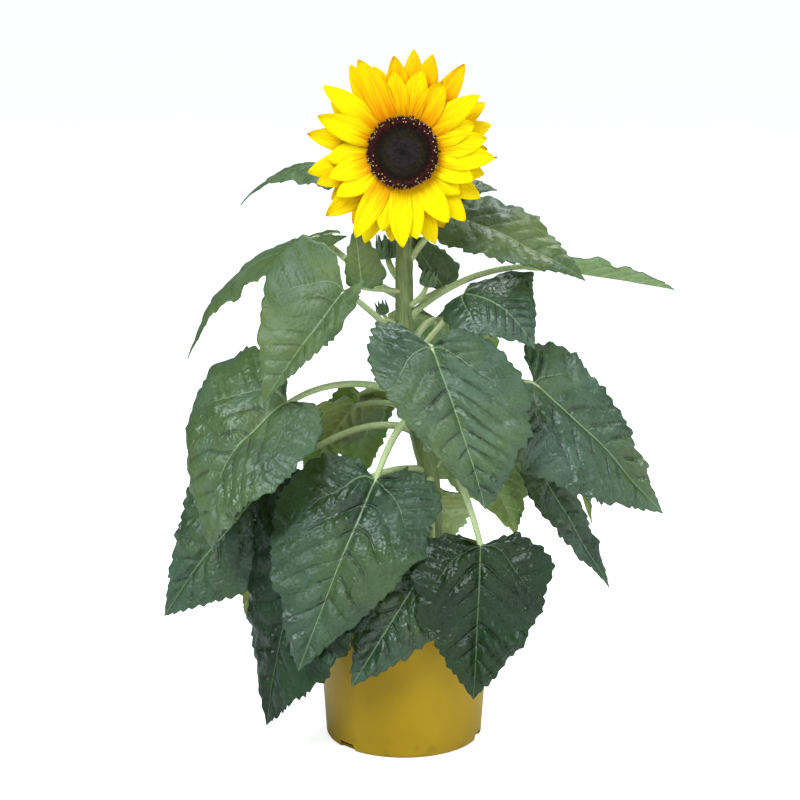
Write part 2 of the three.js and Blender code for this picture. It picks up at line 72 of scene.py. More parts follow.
MM = 0.001  # pieces are drawn in millimetres and brought to metres as they are finished
POT_WALL = 2
POT_FLOOR = 2.5
POT_FOOT = 59  # radius
POT_BAND_HEIGHT = 13
POT_BAND_PROUD = 1.6
POT_SIDES = 144
POT_CRISP = 35  # degrees, the least turn that shows as an edge
NOTCH_BEARINGS = (-137, -17, 103)
NOTCH_DEEP, NOTCH_WIDE, NOTCH_HIGH = 9, 17, 12  # of the block that cuts it, half below the foot
NOTCH_ARCH = 3
MUD_LINE = 0.02  # metres


def new_object(bm, name):
    """Closes a drawing as an object, in metres."""
    bmesh.ops.scale(bm, vec=(MM, MM, MM), verts=bm.verts[:])
    mesh = bpy.data.meshes.new(name)
    bm.to_mesh(mesh)
    bm.free()
    made = bpy.data.objects.new(name, mesh)
    bpy.context.scene.collection.objects.link(made)
    return made


def finish_piece(bm, name, slot, materials, *nodes):
    """Closes a drawing as a piece of the plant that stands for the CAD nodes named."""
    bmesh.ops.recalc_face_normals(bm, faces=bm.faces[:])
    piece = new_object(bm, name)
    piece.data.shade_smooth()
    for material in materials:
        piece.data.materials.append(material)
    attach(piece, "root")
    if nodes:
        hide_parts(*nodes)
    return piece


def paint(red, green, blue):
    """A colour read off in 0 to 255, as the shader's linear light."""
    return tuple((part / 255) ** 2.2 for part in (red, green, blue)) + (1.0,)


def feed(tree, node, inputs):
    """Links sockets and sets plain values on a node's inputs."""
    for name, value in inputs.items():
        if isinstance(value, bpy.types.NodeSocket):
            tree.links.new(value, node.inputs[name])
        else:
            node.inputs[name].default_value = value


def place(tree, kind, inputs, **settings):
    node = tree.nodes.new("ShaderNode" + kind)
    for name, value in settings.items():
        setattr(node, name, value)
    feed(tree, node, inputs)
    return node


def maths(tree, operation, first, second=0.0):
    return place(tree, "Math", {0: first, 1: second}, operation=operation).outputs[0]


def times(tree, first, second):
    return maths(tree, "MULTIPLY", first, second)


def step_mask(tree, value, low, high, bottom=0.0, top=1.0):
    """Rises smoothly from bottom to top between low and high, whichever of them is the larger."""
    limits = {"Value": value, "From Min": low, "From Max": high, "To Min": bottom, "To Max": top}
    return place(tree, "MapRange", limits, interpolation_type="SMOOTHSTEP").outputs[0]


def mixed(tree, mask, first, second):
    return place(tree, "Mix", {0: mask, 6: first, 7: second}, data_type="RGBA").outputs[2]


def tinted(tree, tone, tint, mask, share):
    """Lays a tint over a tone where the mask shows, up to a share."""
    return mixed(tree, times(tree, mask, share), tone, tint)


def split(tree, vector):
    return place(tree, "SeparateXYZ", {"Vector": vector}).outputs[:3]


def cloud(tree, where, scale, detail):
    """Soft noise, 0 to 1."""
    return place(tree, "TexNoise", {"Vector": where, "Scale": scale, "Detail": detail}).outputs[0]


def start_material(name):
    material = bpy.data.materials.new(name)
    material.use_nodes = True
    tree = material.node_tree
    return material, tree, tree.nodes["Principled BSDF"]


def start_group(name, takes, gives):
    """An effect that several materials share, with named sockets."""
    group = bpy.data.node_groups.new(name, "ShaderNodeTree")
    for socket, kind in takes.items():
        group.interface.new_socket(socket, in_out="INPUT", socket_type="NodeSocket" + kind)
    for socket, kind in gives.items():
        group.interface.new_socket(socket, in_out="OUTPUT", socket_type="NodeSocket" + kind)
    return group, group.nodes.new("NodeGroupInput").outputs, group.nodes.new("NodeGroupOutput")


def use_group(tree, group, inputs):
    node = tree.nodes.new("ShaderNodeGroup")
    node.node_tree = group
    feed(tree, node, inputs)
    return node.outputs


def own_place(tree, stretch=(1, 1, 1)):
    """Object coordinates, stretched for a pattern that runs one way."""
    coordinates = place(tree, "TexCoord", {}).outputs["Object"]
    return place(tree, "Mapping", {"Vector": coordinates, "Scale": stretch}).outputs[0]


def bumped(tree, height, distance, strength=1.0):
    inputs = {"Height": height, "Distance": distance, "Strength": strength}
    return place(tree, "Bump", inputs).outputs[0]


blotches, given, result = start_group(
    "blotches",
    {"Where": "Vector", "Scale": "Float", "Low": "Float", "High": "Float"},
    {"Mask": "Float"},
)
soft = cloud(blotches, given["Where"], given["Scale"], 4)
feed(blotches, result, {"Mask": step_mask(blotches, soft, given["Low"], given["High"])})


def blotch(tree, where, scale, low=0.4, high=0.6):
    """A mask of patches, with the crisper edges the closer low and high are."""
    inputs = {"Where": where, "Scale": scale, "Low": low, "High": high}
    return use_group(tree, blotches, inputs)["Mask"]


def plastic():
    material, tree, skin = start_material("mustard_plastic")
    where = own_place(tree)
    tone = mixed(tree, blotch(tree, where, 18, 0.3, 0.7), paint(162, 127, 6), paint(178, 141, 14))
    near_foot = step_mask(tree, split(tree, where)[2], MUD_LINE, 0)
    splashed = times(tree, near_foot, blotch(tree, where, 90, 0.5, 0.66))
    scuffs = blotch(tree, own_place(tree, (1, 1, 0.15)), 420, 0.55, 0.72)
    feed(tree, skin, {
        "Base Color": tinted(tree, tone, paint(98, 74, 30), splashed, 0.35),
        "Roughness": step_mask(tree, scuffs, 0, 1, 0.4, 0.56),
        "Normal": bumped(tree, cloud(tree, where, 900, 2), 0.00006),
        "Specular IOR Level": 0.22,
        "Sheen Weight": 0.2,
        "Sheen Tint": (1.0, 0.78, 0.28, 1.0),
    })
    return material


def rounded_outline(corners, steps=5):
    """The outline through (radius, height, fillet) corners, each fillet an arc."""
    points = [Vector((radius, 0, height)) for radius, height, fillet in corners]
    outline = []
    for i, (radius, height, fillet) in enumerate(corners):
        corner = points[i]
        if fillet == 0:
            outline.append(corner)
            continue
        back = (points[i - 1] - corner).normalized()
        ahead = (points[i + 1] - corner).normalized()
        half_angle = back.angle(ahead) / 2
        centre = corner + (back + ahead).normalized() * fillet / math.sin(half_angle)
        first = (corner + back * fillet / math.tan(half_angle) - centre).normalized()
        last = (corner + ahead * fillet / math.tan(half_angle) - centre).normalized()
        for step in range(steps + 1):
            outline.append(centre + first.slerp(last, step / steps) * fillet)
    return outline


def turned(bm, outline, sides):
    """Spins an outline, from the axis out and back to it, into a closed round body."""
    verts = [bm.verts.new(point) for point in outline]
    edges = [bm.edges.new(pair) for pair in zip(verts, verts[1:])]
    bmesh.ops.spin(
        bm, geom=verts + edges, cent=(0, 0, 0), axis=(0, 0, 1), angle=math.tau, steps=sides,
        use_merge=True,
    )
    bmesh.ops.remove_doubles(bm, verts=bm.verts[:], dist=1e-4)


def drain_notches():
    """The three arched blocks that the notches are cut with."""
    bm = bmesh.new()
    for bearing in NOTCH_BEARINGS:
        block = bmesh.ops.create_cube(bm, size=1)["verts"]
        turn = Matrix.Rotation(math.radians(bearing), 4, "Z") @ Matrix.Translation((POT_FOOT, 0, 0))
        shape = turn @ Matrix.Diagonal((NOTCH_DEEP, NOTCH_WIDE, NOTCH_HIGH, 1))
        bmesh.ops.transform(bm, matrix=shape, verts=block)
        sides = dict.fromkeys(edge for vert in block for edge in vert.link_edges)
        tops = [edge for edge in sides if all(vert.co.z > 0 for vert in edge.verts)]
        bmesh.ops.bevel(
            bm, geom=[edge for edge in tops if edge.calc_length() < NOTCH_WIDE - 1],
            offset=NOTCH_ARCH, segments=5, profile=0.5, affect="EDGES", clamp_overlap=True,
            material=-1,
        )
    return new_object(bm, "drain_notches")


def cut(piece, cutter):
    """Takes the cutter's shape out of a piece for good."""
    modifier = piece.modifiers.new("cut", "BOOLEAN")
    modifier.operation = "DIFFERENCE"
    modifier.object = cutter
    modifier.solver = "EXACT"
    seen = piece.evaluated_get(bpy.context.evaluated_depsgraph_get())
    whole, piece.data = piece.data, bpy.data.meshes.new_from_object(seen)
    piece.modifiers.clear()
    bpy.data.meshes.remove(whole)
    bpy.data.objects.remove(cutter)


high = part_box("pot")[1]
POT_HEIGHT = high.z / MM
POT_RIM = high.x / MM
band_low = POT_HEIGHT - POT_BAND_HEIGHT


def pot_outside(height):
    return POT_FOOT + (POT_RIM - POT_BAND_PROUD - POT_FOOT) * height / POT_HEIGHT


bm = bmesh.new()
turned(bm, rounded_outline([
    (0, 0, 0),
    (POT_FOOT - 8, 0, 0),
    (POT_FOOT - 7, 0.8, 0.3),
    (POT_FOOT - 5.6, 0.8, 0.3),
    (POT_FOOT - 4.6, 0, 0.3),
    (pot_outside(0), 0, 3.6),
    (pot_outside(band_low - 0.6), band_low - 0.6, 0.6),
    (pot_outside(band_low) + POT_BAND_PROUD, band_low, 0.7),
    (POT_RIM, POT_HEIGHT, 1.3),
    (POT_RIM - POT_WALL - POT_BAND_PROUD, POT_HEIGHT, 0.9),
    (pot_outside(band_low) - POT_WALL, band_low - 2, 2),
    (pot_outside(POT_FLOOR) - POT_WALL, POT_FLOOR, 2),
    (0, POT_FLOOR, 0),
]), POT_SIDES)
pot = finish_piece(bm, "nursery_pot", "pot_plastic", [plastic()], "pot")
cut(pot, drain_notches())
pot.data.set_sharp_from_angle(angle=math.radians(POT_CRISP))

# The potting soil
# Dark moist compost that fills the pot to a finger's width below its rim: a lumpy ball with loose
# crumbs and shreds of bark lying on it. The stem stands in it, a little off the middle.

SOIL_TOP = 131
SOIL_EDGE_DIP = 3
SOIL_HEEL = 9.5  # how much narrower the ball is below
SOIL_RINGS = 44
SOIL_SIDES = 120
SOIL_CRUMBS = 1500
CRUMBS_INSET = 2.5
CRUMB_SIZES = (0.5, 0.7, 0.9, 1.2, 1.7)
SHRED_LENGTH = 1.5  # of its size, from which a crumb is a shred of bark


def soil_lump(x, y):
    """How far the soil's surface stands above or below its level."""
    fine = noise.noise((x * 0.35, y * 0.35, 5)) * 0.9
    return noise.noise((x * 0.09, y * 0.09, 2)) * 1.6 + fine


def soil_level(x, y):
    out = math.hypot(x, y) / soil_radius
    return SOIL_TOP - SOIL_EDGE_DIP * max(0, out - 0.7) / 0.3 + soil_lump(x, y) * (1.05 - out ** 6)


def earth(name, dark, light):
    material, tree, skin = start_material(name)
    where = own_place(tree)
    damp = blotch(tree, where, 45, 0.35, 0.65)
    grains = cloud(tree, where, 1400, 5)
    feed(tree, skin, {
        "Base Color": mixed(tree, step_mask(tree, grains, 0.42, 0.66), dark, light),
        "Roughness": step_mask(tree, damp, 0, 1, 0.62, 0.95),
        "Normal": bumped(tree, grains, 0.0008),
        "Specular IOR Level": 0.3,
    })
    return material


def knob(bm, shape):
    """A small ball, squashed and placed by a matrix."""
    return bmesh.ops.create_icosphere(bm, subdivisions=1, radius=1, matrix=shape)["verts"]


def clad(verts, material_index):
    """Gives the faces at these points another of the piece's materials."""
    for face in {face for vert in verts for face in vert.link_faces}:
        face.material_index = material_index


low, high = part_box("soil")
soil_radius = high.x / MM
soil_low = low.z / MM
bm = bmesh.new()
outline = [Vector((0, 0, soil_low)), Vector((soil_radius - SOIL_HEEL, 0, soil_low))]
for i in range(SOIL_RINGS + 1):
    outline.append(Vector((soil_radius * (1 - i / SOIL_RINGS), 0, SOIL_TOP)))
turned(bm, outline, SOIL_SIDES)
for vert in bm.verts:
    if vert.co.z > SOIL_TOP - 1:
        vert.co.z = soil_level(vert.co.x, vert.co.y)
compost = earth("moist_compost", paint(24, 17, 12), paint(58, 43, 30))
bark = earth("bark_shreds", paint(62, 41, 24), paint(112, 82, 52))
finish_piece(bm, "potting_soil", "soil", [compost], "soil")

bm = bmesh.new()
chance = random.Random(11)
noise.seed_set(11)  # without it, noise_vector starts from the clock
for _ in range(SOIL_CRUMBS):
    out = (soil_radius - CRUMBS_INSET) * math.sqrt(chance.random())
    bearing = chance.uniform(0, math.tau)
    x, y = out * math.cos(bearing), out * math.sin(bearing)
    size = chance.choice(CRUMB_SIZES)
    squash = Vector((chance.uniform(0.7, 1.9), chance.uniform(0.7, 1.2), chance.uniform(0.5, 0.9)))
    spot = Matrix.Translation((x, y, soil_level(x, y) + size * 0.2))
    turn = Matrix.Rotation(chance.uniform(0, math.tau), 4, "Z")
    tilt = Matrix.Rotation(chance.uniform(-0.6, 0.6), 4, "Y")
    crumb = knob(bm, spot @ (turn @ tilt) @ Matrix.Diagonal((*(squash * size), 1)))
    for vert in crumb:
        vert.co += noise.noise_vector(vert.co * 1.3) * size * 0.45
    if squash.x > SHRED_LENGTH:
        clad(crumb, 1)
finish_piece(bm, "soil_crumbs", "soil", [compost, bark])

# The stem
# One firm green stalk that leans out of the soil, straightens and nods at its neck to carry the
# bloom. It is ribbed lengthwise, swells a little where each leaf joins it, and carries bristles.

STEM_FOOT = (22, 0)
STEM_BENDS = (
    (22, 0, 165), (19, 0, 200), (8, 0, 250), (1, 2, 300), (0, 5, 350), (0, 9, 400), (0, 8, 429),
)
STEM_FLARE = 9.5
STEM_FLARE_FALL = 22
STEM_LOW_RADIUS = 7.2
STEM_TOP_RADIUS = 5.6
STEM_NECK_RADIUS = 4.8
STEM_NECK_FROM = 0.86
STEM_NECK_STRAIGHT = 12
STEM_STEPS = 230
STEM_SIDES = 44
STEM_RIBS = 11
STEM_RIB_HEIGHT = 0.035  # share of the radius
STEM_BRISTLES = 900
STEM_NODES = (
    185, 196, 200, 206, 222, 225, 235, 247, 254, 262, 275, 282, 290, 305, 314, 320, 330, 338, 345,
    360, 385, 394, 402,
)
STEM_SWELLING = 0.07
BLOOM_CENTRE = Vector((-1, -33, 448))
BLOOM_UPWARD = 6.3
CALYX_LENGTH = 17
CLEARANCE = 0.3


def direction(bearing, elevation=0):
    """The unit vector along a bearing, raised by an angle above level."""
    turn, rise = math.radians(bearing), math.radians(elevation)
    level = math.cos(rise)
    return Vector((level * math.cos(turn), level * math.sin(turn), math.sin(rise)))


def through(points, share):
    """A point of the smooth curve through the points, which slows down where they lie close."""
    place_along = (len(points) - 1) * min(max(share, 0), 1)
    i = min(int(place_along), len(points) - 2)
    weight = place_along - i
    start, end = points[i], points[i + 1]
    before = points[i - 1] if i > 0 else start * 2 - end
    after = points[i + 2] if i + 2 < len(points) else end * 2 - start
    steps = ((before, start), (start, end), (end, after))
    first, here, last = [math.sqrt((b - a).length) or 1 for a, b in steps]
    leave = (start - before) / first - (end - before) / (first + here) + (end - start) / here
    arrive = (end - start) / here - (after - start) / (here + last) + (after - end) / last
    leave, arrive = leave * here, arrive * here
    square, cube = weight ** 2, weight ** 3
    return (
        start
        + leave * weight
        + (end * 3 - start * 3 - leave * 2 - arrive) * square
        + (start * 2 - end * 2 + leave + arrive) * cube
    )


def even_line(points, steps):
    """Equal steps along the smooth curve through the points."""
    fine = [through(points, i / 400) for i in range(401)]
    lengths = [0]
    for a, b in zip(fine, fine[1:]):
        lengths.append(lengths[-1] + (b - a).length)
    line = []
    k = 0
    for step in range(steps + 1):
        target = lengths[-1] * step / steps
        while k < 399 and lengths[k + 1] < target:
            k += 1
        part = (target - lengths[k]) / (lengths[k + 1] - lengths[k])
        line.append(fine[k].lerp(fine[k + 1], part))
    return line


def limb_frames(line, side):
    """At each point of a line, the turn that sets a flat ring square to it, X axis near `side`."""
    frames = []
    for i, point in enumerate(line):
        ahead = (line[min(i + 1, len(line) - 1)] - line[max(i - 1, 0)]).normalized()
        across = (side - ahead * side.dot(ahead)).normalized()
        up = ahead.cross(across)
        frames.append(Matrix.Translation(point) @ Matrix((across, up, ahead)).transposed().to_4x4())
    return frames


def limb(bm, frames, radius_at, sides, shape=lambda angle: 1.0):
    """Draws a tapering limb: a ring whose edges are extruded from frame to frame, then capped."""
    ring = bmesh.ops.create_circle(bm, cap_ends=True, radius=1, segments=sides)["verts"]
    for vert in ring:
        vert.co *= shape(math.atan2(vert.co.y, vert.co.x))
    edges = list(dict.fromkeys(edge for vert in ring for edge in vert.link_edges))
    sizes = [radius_at(i / (len(frames) - 1)) for i in range(len(frames))]
    stands = [frame @ Matrix.Diagonal((size, size, 1, 1)) for frame, size in zip(frames, sizes)]
    bmesh.ops.transform(bm, matrix=stands[0], verts=ring)
    for last, stand in zip(stands, stands[1:]):
        grown = bmesh.ops.extrude_edge_only(bm, edges=edges)["geom"]
        ring = [part for part in grown if isinstance(part, bmesh.types.BMVert)]
        edges = [part for part in grown if isinstance(part, bmesh.types.BMEdge)]
        bmesh.ops.transform(bm, matrix=stand @ last.inverted(), verts=ring)
    bmesh.ops.holes_fill(bm, edges=edges, sides=sides)


def stray(chance):
    """A direction that may point any way."""
    return Vector([chance.gauss(0, 1) for _ in range(3)]).normalized()


def stood(spot, up):
    """The move that stands a drawing made along Z on a spot, along `up`."""
    return Matrix.Translation(spot) @ up.to_track_quat("Z", "Y").to_matrix().to_4x4()


def cone(bm, sides, foot, tip, tall, stand):
    """A small cone or peg, by the radii of its foot and its tip."""
    return bmesh.ops.create_cone(
        bm, cap_ends=True, segments=sides, radius1=foot, radius2=tip, depth=tall, matrix=stand
    )["verts"]


def bristle(bm, foot, lean, length, thick):
    """A stiff tapering hair."""
    cone(bm, 3, thick, thick * 0.15, length, stood(foot + lean * length / 2, lean))


def smooth_rise(low, high, value):
    part = min(max((value - low) / (high - low), 0), 1)
    return part * part * (3 - 2 * part)


bloom_look = direction(-90, BLOOM_UPWARD)
calyx_back = BLOOM_CENTRE - bloom_look * (CALYX_LENGTH + CLEARANCE)
stem_points = [Vector((*STEM_FOOT, SOIL_TOP + CLEARANCE))] + [Vector(bend) for bend in STEM_BENDS]
stem_points += [calyx_back - bloom_look * STEM_NECK_STRAIGHT, calyx_back]
stem_line = even_line(stem_points, STEM_STEPS)


def stem_radius(share):
    flare = math.exp(-share * STEM_FLARE_FALL) * (STEM_FLARE - STEM_LOW_RADIUS)
    neck = smooth_rise(STEM_NECK_FROM, 1, share) * (STEM_TOP_RADIUS - STEM_NECK_RADIUS)
    return STEM_LOW_RADIUS + (STEM_TOP_RADIUS - STEM_LOW_RADIUS) * share + flare - neck


def stem_at(height):
    """The point of the stem's centre line at a height."""
    for a, b in zip(stem_line, stem_line[1:]):
        if b.z >= height:
            return a.lerp(b, (height - a.z) / (b.z - a.z)) if b.z > a.z else a
    return stem_line[-1]


def stalk_green(name, green, pale, stretch):
    material, tree, skin = start_material(name)
    where = own_place(tree)
    streaks = blotch(tree, own_place(tree, stretch), 700, 0.38, 0.62)
    tone = tinted(tree, green, pale, streaks, 0.55)
    speck = place(tree, "TexVoronoi", {"Vector": where, "Scale": 900}).outputs["Distance"]
    feed(tree, skin, {
        "Base Color": tinted(tree, tone, pale, blotch(tree, where, 40, 0.35, 0.65), 0.4),
        "Roughness": step_mask(tree, streaks, 0, 1, 0.42, 0.6),
        "Normal": bumped(tree, speck, 0.00025, 0.6),
        "Subsurface Weight": 0.12,
        "Subsurface Radius": (0.002, 0.004, 0.001),
        "Subsurface Scale": 1.0,
    })
    return material


def stem_girth(share):
    """The stem's radius with a slight swelling at each leaf."""
    height = stem_line[round(share * STEM_STEPS)].z
    swelling = max(math.exp(-((height - node - 1) / 5) ** 2) for node in STEM_NODES)
    return stem_radius(share) * (1 + STEM_SWELLING * swelling)


def stem_ribs(angle):
    return 1 + STEM_RIB_HEIGHT * math.cos(STEM_RIBS * angle)


stem_green = stalk_green("stem_green", paint(98, 114, 58), paint(150, 164, 104), (1, 1, 0.08))
petiole_green = stalk_green(
    "petiole_green", paint(164, 178, 112), paint(202, 210, 160), (1, 1, 1)
)
bm = bmesh.new()
frames = limb_frames(stem_line, Vector((1, 0, 0)))
limb(bm, frames, stem_girth, STEM_SIDES, stem_ribs)
chance = random.Random(3)
for _ in range(STEM_BRISTLES):
    i = chance.randint(3, STEM_STEPS - 3)
    angle = chance.uniform(0, math.tau)
    lean = frames[i].col[0].xyz * math.cos(angle) + frames[i].col[1].xyz * math.sin(angle)
    foot = stem_line[i] + lean * stem_girth(i / STEM_STEPS) * 0.96
    way = (lean + stray(chance) * 0.35).normalized()
    bristle(bm, foot, way, chance.uniform(1.0, 2.2), 0.13)
finish_piece(bm, "ribbed_stem", "stem", [stem_green], "stem")

# The leaves
# Heart-shaped leaves on long channelled stalks: deep glossy green and puckered above, paler and
# matt below, with pale veins and a toothed margin. Each grows from the stem, arches out and hangs.
# Their colour also holds painted light: patches of painted sunlight and of a painted bluish sky
# sheen, painted shade in the creases, and darker skins for the low leaves that hang in shade.

# A leaf's row: the height and bearing where its stalk leaves the stem, how far out and up it goes
# and the slopes it starts and ends at; the blade's heading, dip, length and width, the bearing and
# slope that it faces, and its arch, fold, lobes, lopsidedness and skew.
Leaf = namedtuple(
    "Leaf",
    "node toward out up rise end heading dip long wide faces sky arch fold lobe uneven skew",
    defaults=(0.08, 8, 0.1, 0, 0),
)
LEAVES = {name: Leaf(*row) for name, row in dict(
    front_centre=(275, -74, 57, 36, 50, -5, -39, 66, 122, 102, -84, 25, 0.08, 8, 0.13, 0.1, -0.42),
    front_left=(247, -116, 67, -32, 15, -45, -152, 65, 149, 112, -92, 25, 0.08, 6, 0.08, -0.06, 0.15),
    front_right_low=(222, -63, 89, -51, 40, -65, -106, 81, 112, 100, -88, 15, 0.06, 8, 0.06, 0.03, 0.05),
    front_low=(200, -89, 70, -40, 10, -60, -170, 58, 112, 74, -92, 15, 0.05, 6),
    left_mid=(262, -158, 98, 5, 30, -30, -160, 62, 124, 128, -134, 35, 0.22, 12, 0.08, -0.12, -0.3),
    left_low=(236, 177, 98, -26, 25, -35, -177, 51, 152, 110, -98, 30, 0.1, 6, 0.04, 0.05, -0.15),
    left_lowest=(206, -147, 92, -18, 20, -40, -175, 75, 169, 120, -128, 12, 0.06, 6, 0.04, 0.03, -0.4),
    left_upper=(305, -138, 59, 44, 35, 30, -158, 51, 99, 76, -104, 28, 0.04, 18, 0.12, -0.58, -0.22),
    left_high=(338, 164, 66, 42, 12, 30, 180, 43, 136, 76, -90, 82, 0.15, -6, 0.1, -0.35),
    left_small=(340, -138, 41, 9, 25, 20, 130, -80, 46, 28, -90, 5, 0.05, 8, 0, -0.25),
    right_small=(330, 28, 33, 12, 20, 30, 175, -56, 50, 24, -90, 10, 0.05, 8, 0, -0.48),
    right_fold=(282, -15, 42, 60, 65, 55, -20, 34, 66, 88, -60, 28, 0.24, -8, 0.1, 0.3),
    right_high=(360, 0, 37, 36, 50, 10, -21, 22, 108, 56, -90, 48, 0.08, 4, 0.1, 0.14, -0.1),
    right_far=(320, 6, 90, 40, 42, 0, 5, 10, 114, 70, 90, 80, 0.02, 28),
    right_mid=(262, -9, 91, 14, 35, -10, -6, 45, 136, 92, -75, 38, 0.05, 8, 0.12, -0.15, 0.25),
    right_low=(225, 14, 90, -22, 35, -40, -19, 57, 106, 44, -40, 20, 0.02, 10, 0.08),
    back_right_mid=(235, 33, 100, 0, 35, -30, -2, 58, 99, 72, 10, 30, 0.06),
    back_right_low=(200, 62, 50, 18, 45, 0, 35, 55, 101, 80, 70, 28),
    back_left_mid=(247, 142, 58, 2, 35, -20, 148, 56, 80, 70, 120, 30),
    back_mid=(254, 128, 66, 0, 40, -30, 95, 72, 86, 50, 95, 15),
    top_left=(385, 135, 41, 36, 40, 10, 174, 12, 97, 50, -90, 84, 0.2, -6),
    top_right=(402, 50, 30, 16, 45, 20, 10, -20, 54, 24, -90, 60, 0.08, 8, 0),
    top_right_low=(384, 30, 32, 28, 45, 20, 24, 0, 46, 24, -90, 60, 0.08, 8, 0),
    top_back=(394, 82, 34, 14, 45, 0, 88, 24, 84, 62, 95, 60, 0.1),
    back_upper=(290, 68, 58, 22, 45, -10, 66, 50, 110, 88, 66, 40, 0.1),
    back_low=(185, 98, 90, -22, 25, -30, 98, 58, 132, 92, 94, 30, 0.1),
    back_left_low=(196, 151, 84, -26, 30, -30, 152, 52, 134, 96, 146, 35, 0.1),
).items()}
GROWN_LENGTH = 120
CM = 10  # the skins lay their patterns out in centimetres
BLADE_CELL = 1.55
BLADE_THICK = 0.7
BLADE_TIP = 0.35
BLADE_ROW_BIAS = 1.2
BLADE_CURL = 0.2
SIDE_VEINS = 8
BRANCH_GAP = 7.5
MARGIN_SWAY = 0.12
TEETH_FROM = 0.86  # share of the way out from the midrib
TOOTH_GAP = 8.5
TOOTH_DEPTH = 5.0
DOME_HEIGHT = 2.6
DOME_EXTRA = 2.0  # beside the midrib
PUCKER_HEIGHT = 1.8
GRAIN_HEIGHT = 0.5
RUFFLE = 7.5
DRIFT = 4.0
SINK = 1.2
RIB_HEIGHT = 1.5
VEIN_HEIGHT = 0.5
YOUNG_PUCKER = 0.4  # share of a grown leaf's
STALK_STEPS = 30
STALK_SIDES = 14
STALK_TAPER = 0.68
STALK_CHANNEL = 0.24
STALK_SUNK = 0.1
STALK_KEEL = 1.4
STALK_SINK = 3.0
STALK_BRISTLES = 70


def leaf_margin(lobe, rows):
    """Half of a heart-shaped outline: shares of the length and of the half width, row by row."""
    corners = [(-0.3 * lobe, 0.1), (-lobe, 0.42), (0.04 - 0.7 * lobe, 0.8), (0.16, 1), (0.4, 0.88)]
    corners += [(0.64, 0.58), (0.84, 0.25), (1, 0)]
    points = [Vector((*corner, 0)) for corner in corners]
    return [through(points, i / rows) for i in range(rows + 1)]


def stand_of(leaf):
    """Where a leaf's stalk starts and ends, and which ways its blade runs and looks."""
    root = stem_at(leaf.node)
    base = root + direction(leaf.toward) * leaf.out + Vector((0, 0, leaf.up))
    along = direction(leaf.heading, -leaf.dip)
    look = direction(leaf.faces, leaf.sky)
    normal = (look - along * look.dot(along)).normalized()
    return root, base, along, normal, normal.cross(along)


def blade_point(leaf, stand, a, b, h):
    """The point at share `a` of the length, `b` across from the midrib and `h` above the leaf."""
    _, base, along, normal, across = stand
    bow = leaf.arch * 4 * a * (1 - a)
    up = (normal - along * (leaf.arch * 4 * (1 - 2 * a))).normalized()
    fold = math.radians(leaf.fold)
    lift = abs(b) * math.sin(fold) - BLADE_CURL * b * b / (leaf.wide / 2)
    return (
        base
        + along * (a * leaf.long - leaf.skew * b)
        + normal * (bow * leaf.long)
        + across * (b * math.cos(fold))
        + up * (lift + h)
    )


def tooth(arc, seed):
    """How far a rounded tooth of the margin stands out, 0 to 1, leaning towards the tip."""
    place_along = arc / TOOTH_GAP + noise.noise((arc / 26, seed, 0)) * 1.1
    part = place_along % 1
    size = 0.6 + 0.55 * noise.noise((math.floor(place_along) * 3.7, seed, 4))
    return size * math.sin(math.pi * part ** 1.5)


def vein_phases(leaf, run, b, half, seed):
    """Counts along the side veins, and along the branches of the strong lowest pair of them."""
    gap = leaf.long / SIDE_VEINS
    straight = smooth_rise(0, 0.4, run / leaf.long)
    wobble = noise.noise((run / 24, b / 24, seed)) * 0.3
    bend = (0.12 + 0.6 * straight) * abs(b) + (0.95 - 0.65 * straight) * b * b / half
    phase = (run - bend) / gap + (0.12 if b > 0 else -0.12) * straight + wobble
    return phase, (run + 0.27 * abs(b)) / BRANCH_GAP + wobble


def crinkle(run, b, wave, seed):
    """How far a spot lies from a vein, 0 to 1, and how high the blade stands there."""
    dome = abs(math.sin(math.pi * wave)) ** 0.6
    cells = noise.voronoi((wave * 1.2, abs(b) / 7, seed * 3.1))[0]
    pucker = smooth_rise(0, 0.7, cells[1] - cells[0])
    small = noise.voronoi((run / 5.5, b / 5.5, seed * 5.7))[0]
    grain = smooth_rise(0, 0.7, small[1] - small[0])
    rough = smooth_rise(-0.3, 0.3, noise.noise((run / 32, b / 26, seed + 3))) * 0.75 + 0.45
    deep = DOME_HEIGHT + DOME_EXTRA * math.exp(-(b / 17) ** 2)
    return dome, (deep * dome + PUCKER_HEIGHT * pucker * dome ** 0.5 + GRAIN_HEIGHT * grain) * rough


def thin_sheet(bm, across, along):
    """A flat square sheet, one unit wide: its points, and those of them on its upper side."""
    known = set(bm.verts)
    flat = bmesh.ops.create_grid(bm, x_segments=across, y_segments=along, size=0.5)["verts"]
    faces = list(dict.fromkeys(face for vert in flat for face in vert.link_faces))
    bmesh.ops.solidify(bm, geom=faces, thickness=0.1)
    fresh = [vert for vert in bm.verts if vert not in known]
    top = max(vert.co.z for vert in fresh)
    return fresh, {vert for vert in fresh if top - vert.co.z < 0.01}


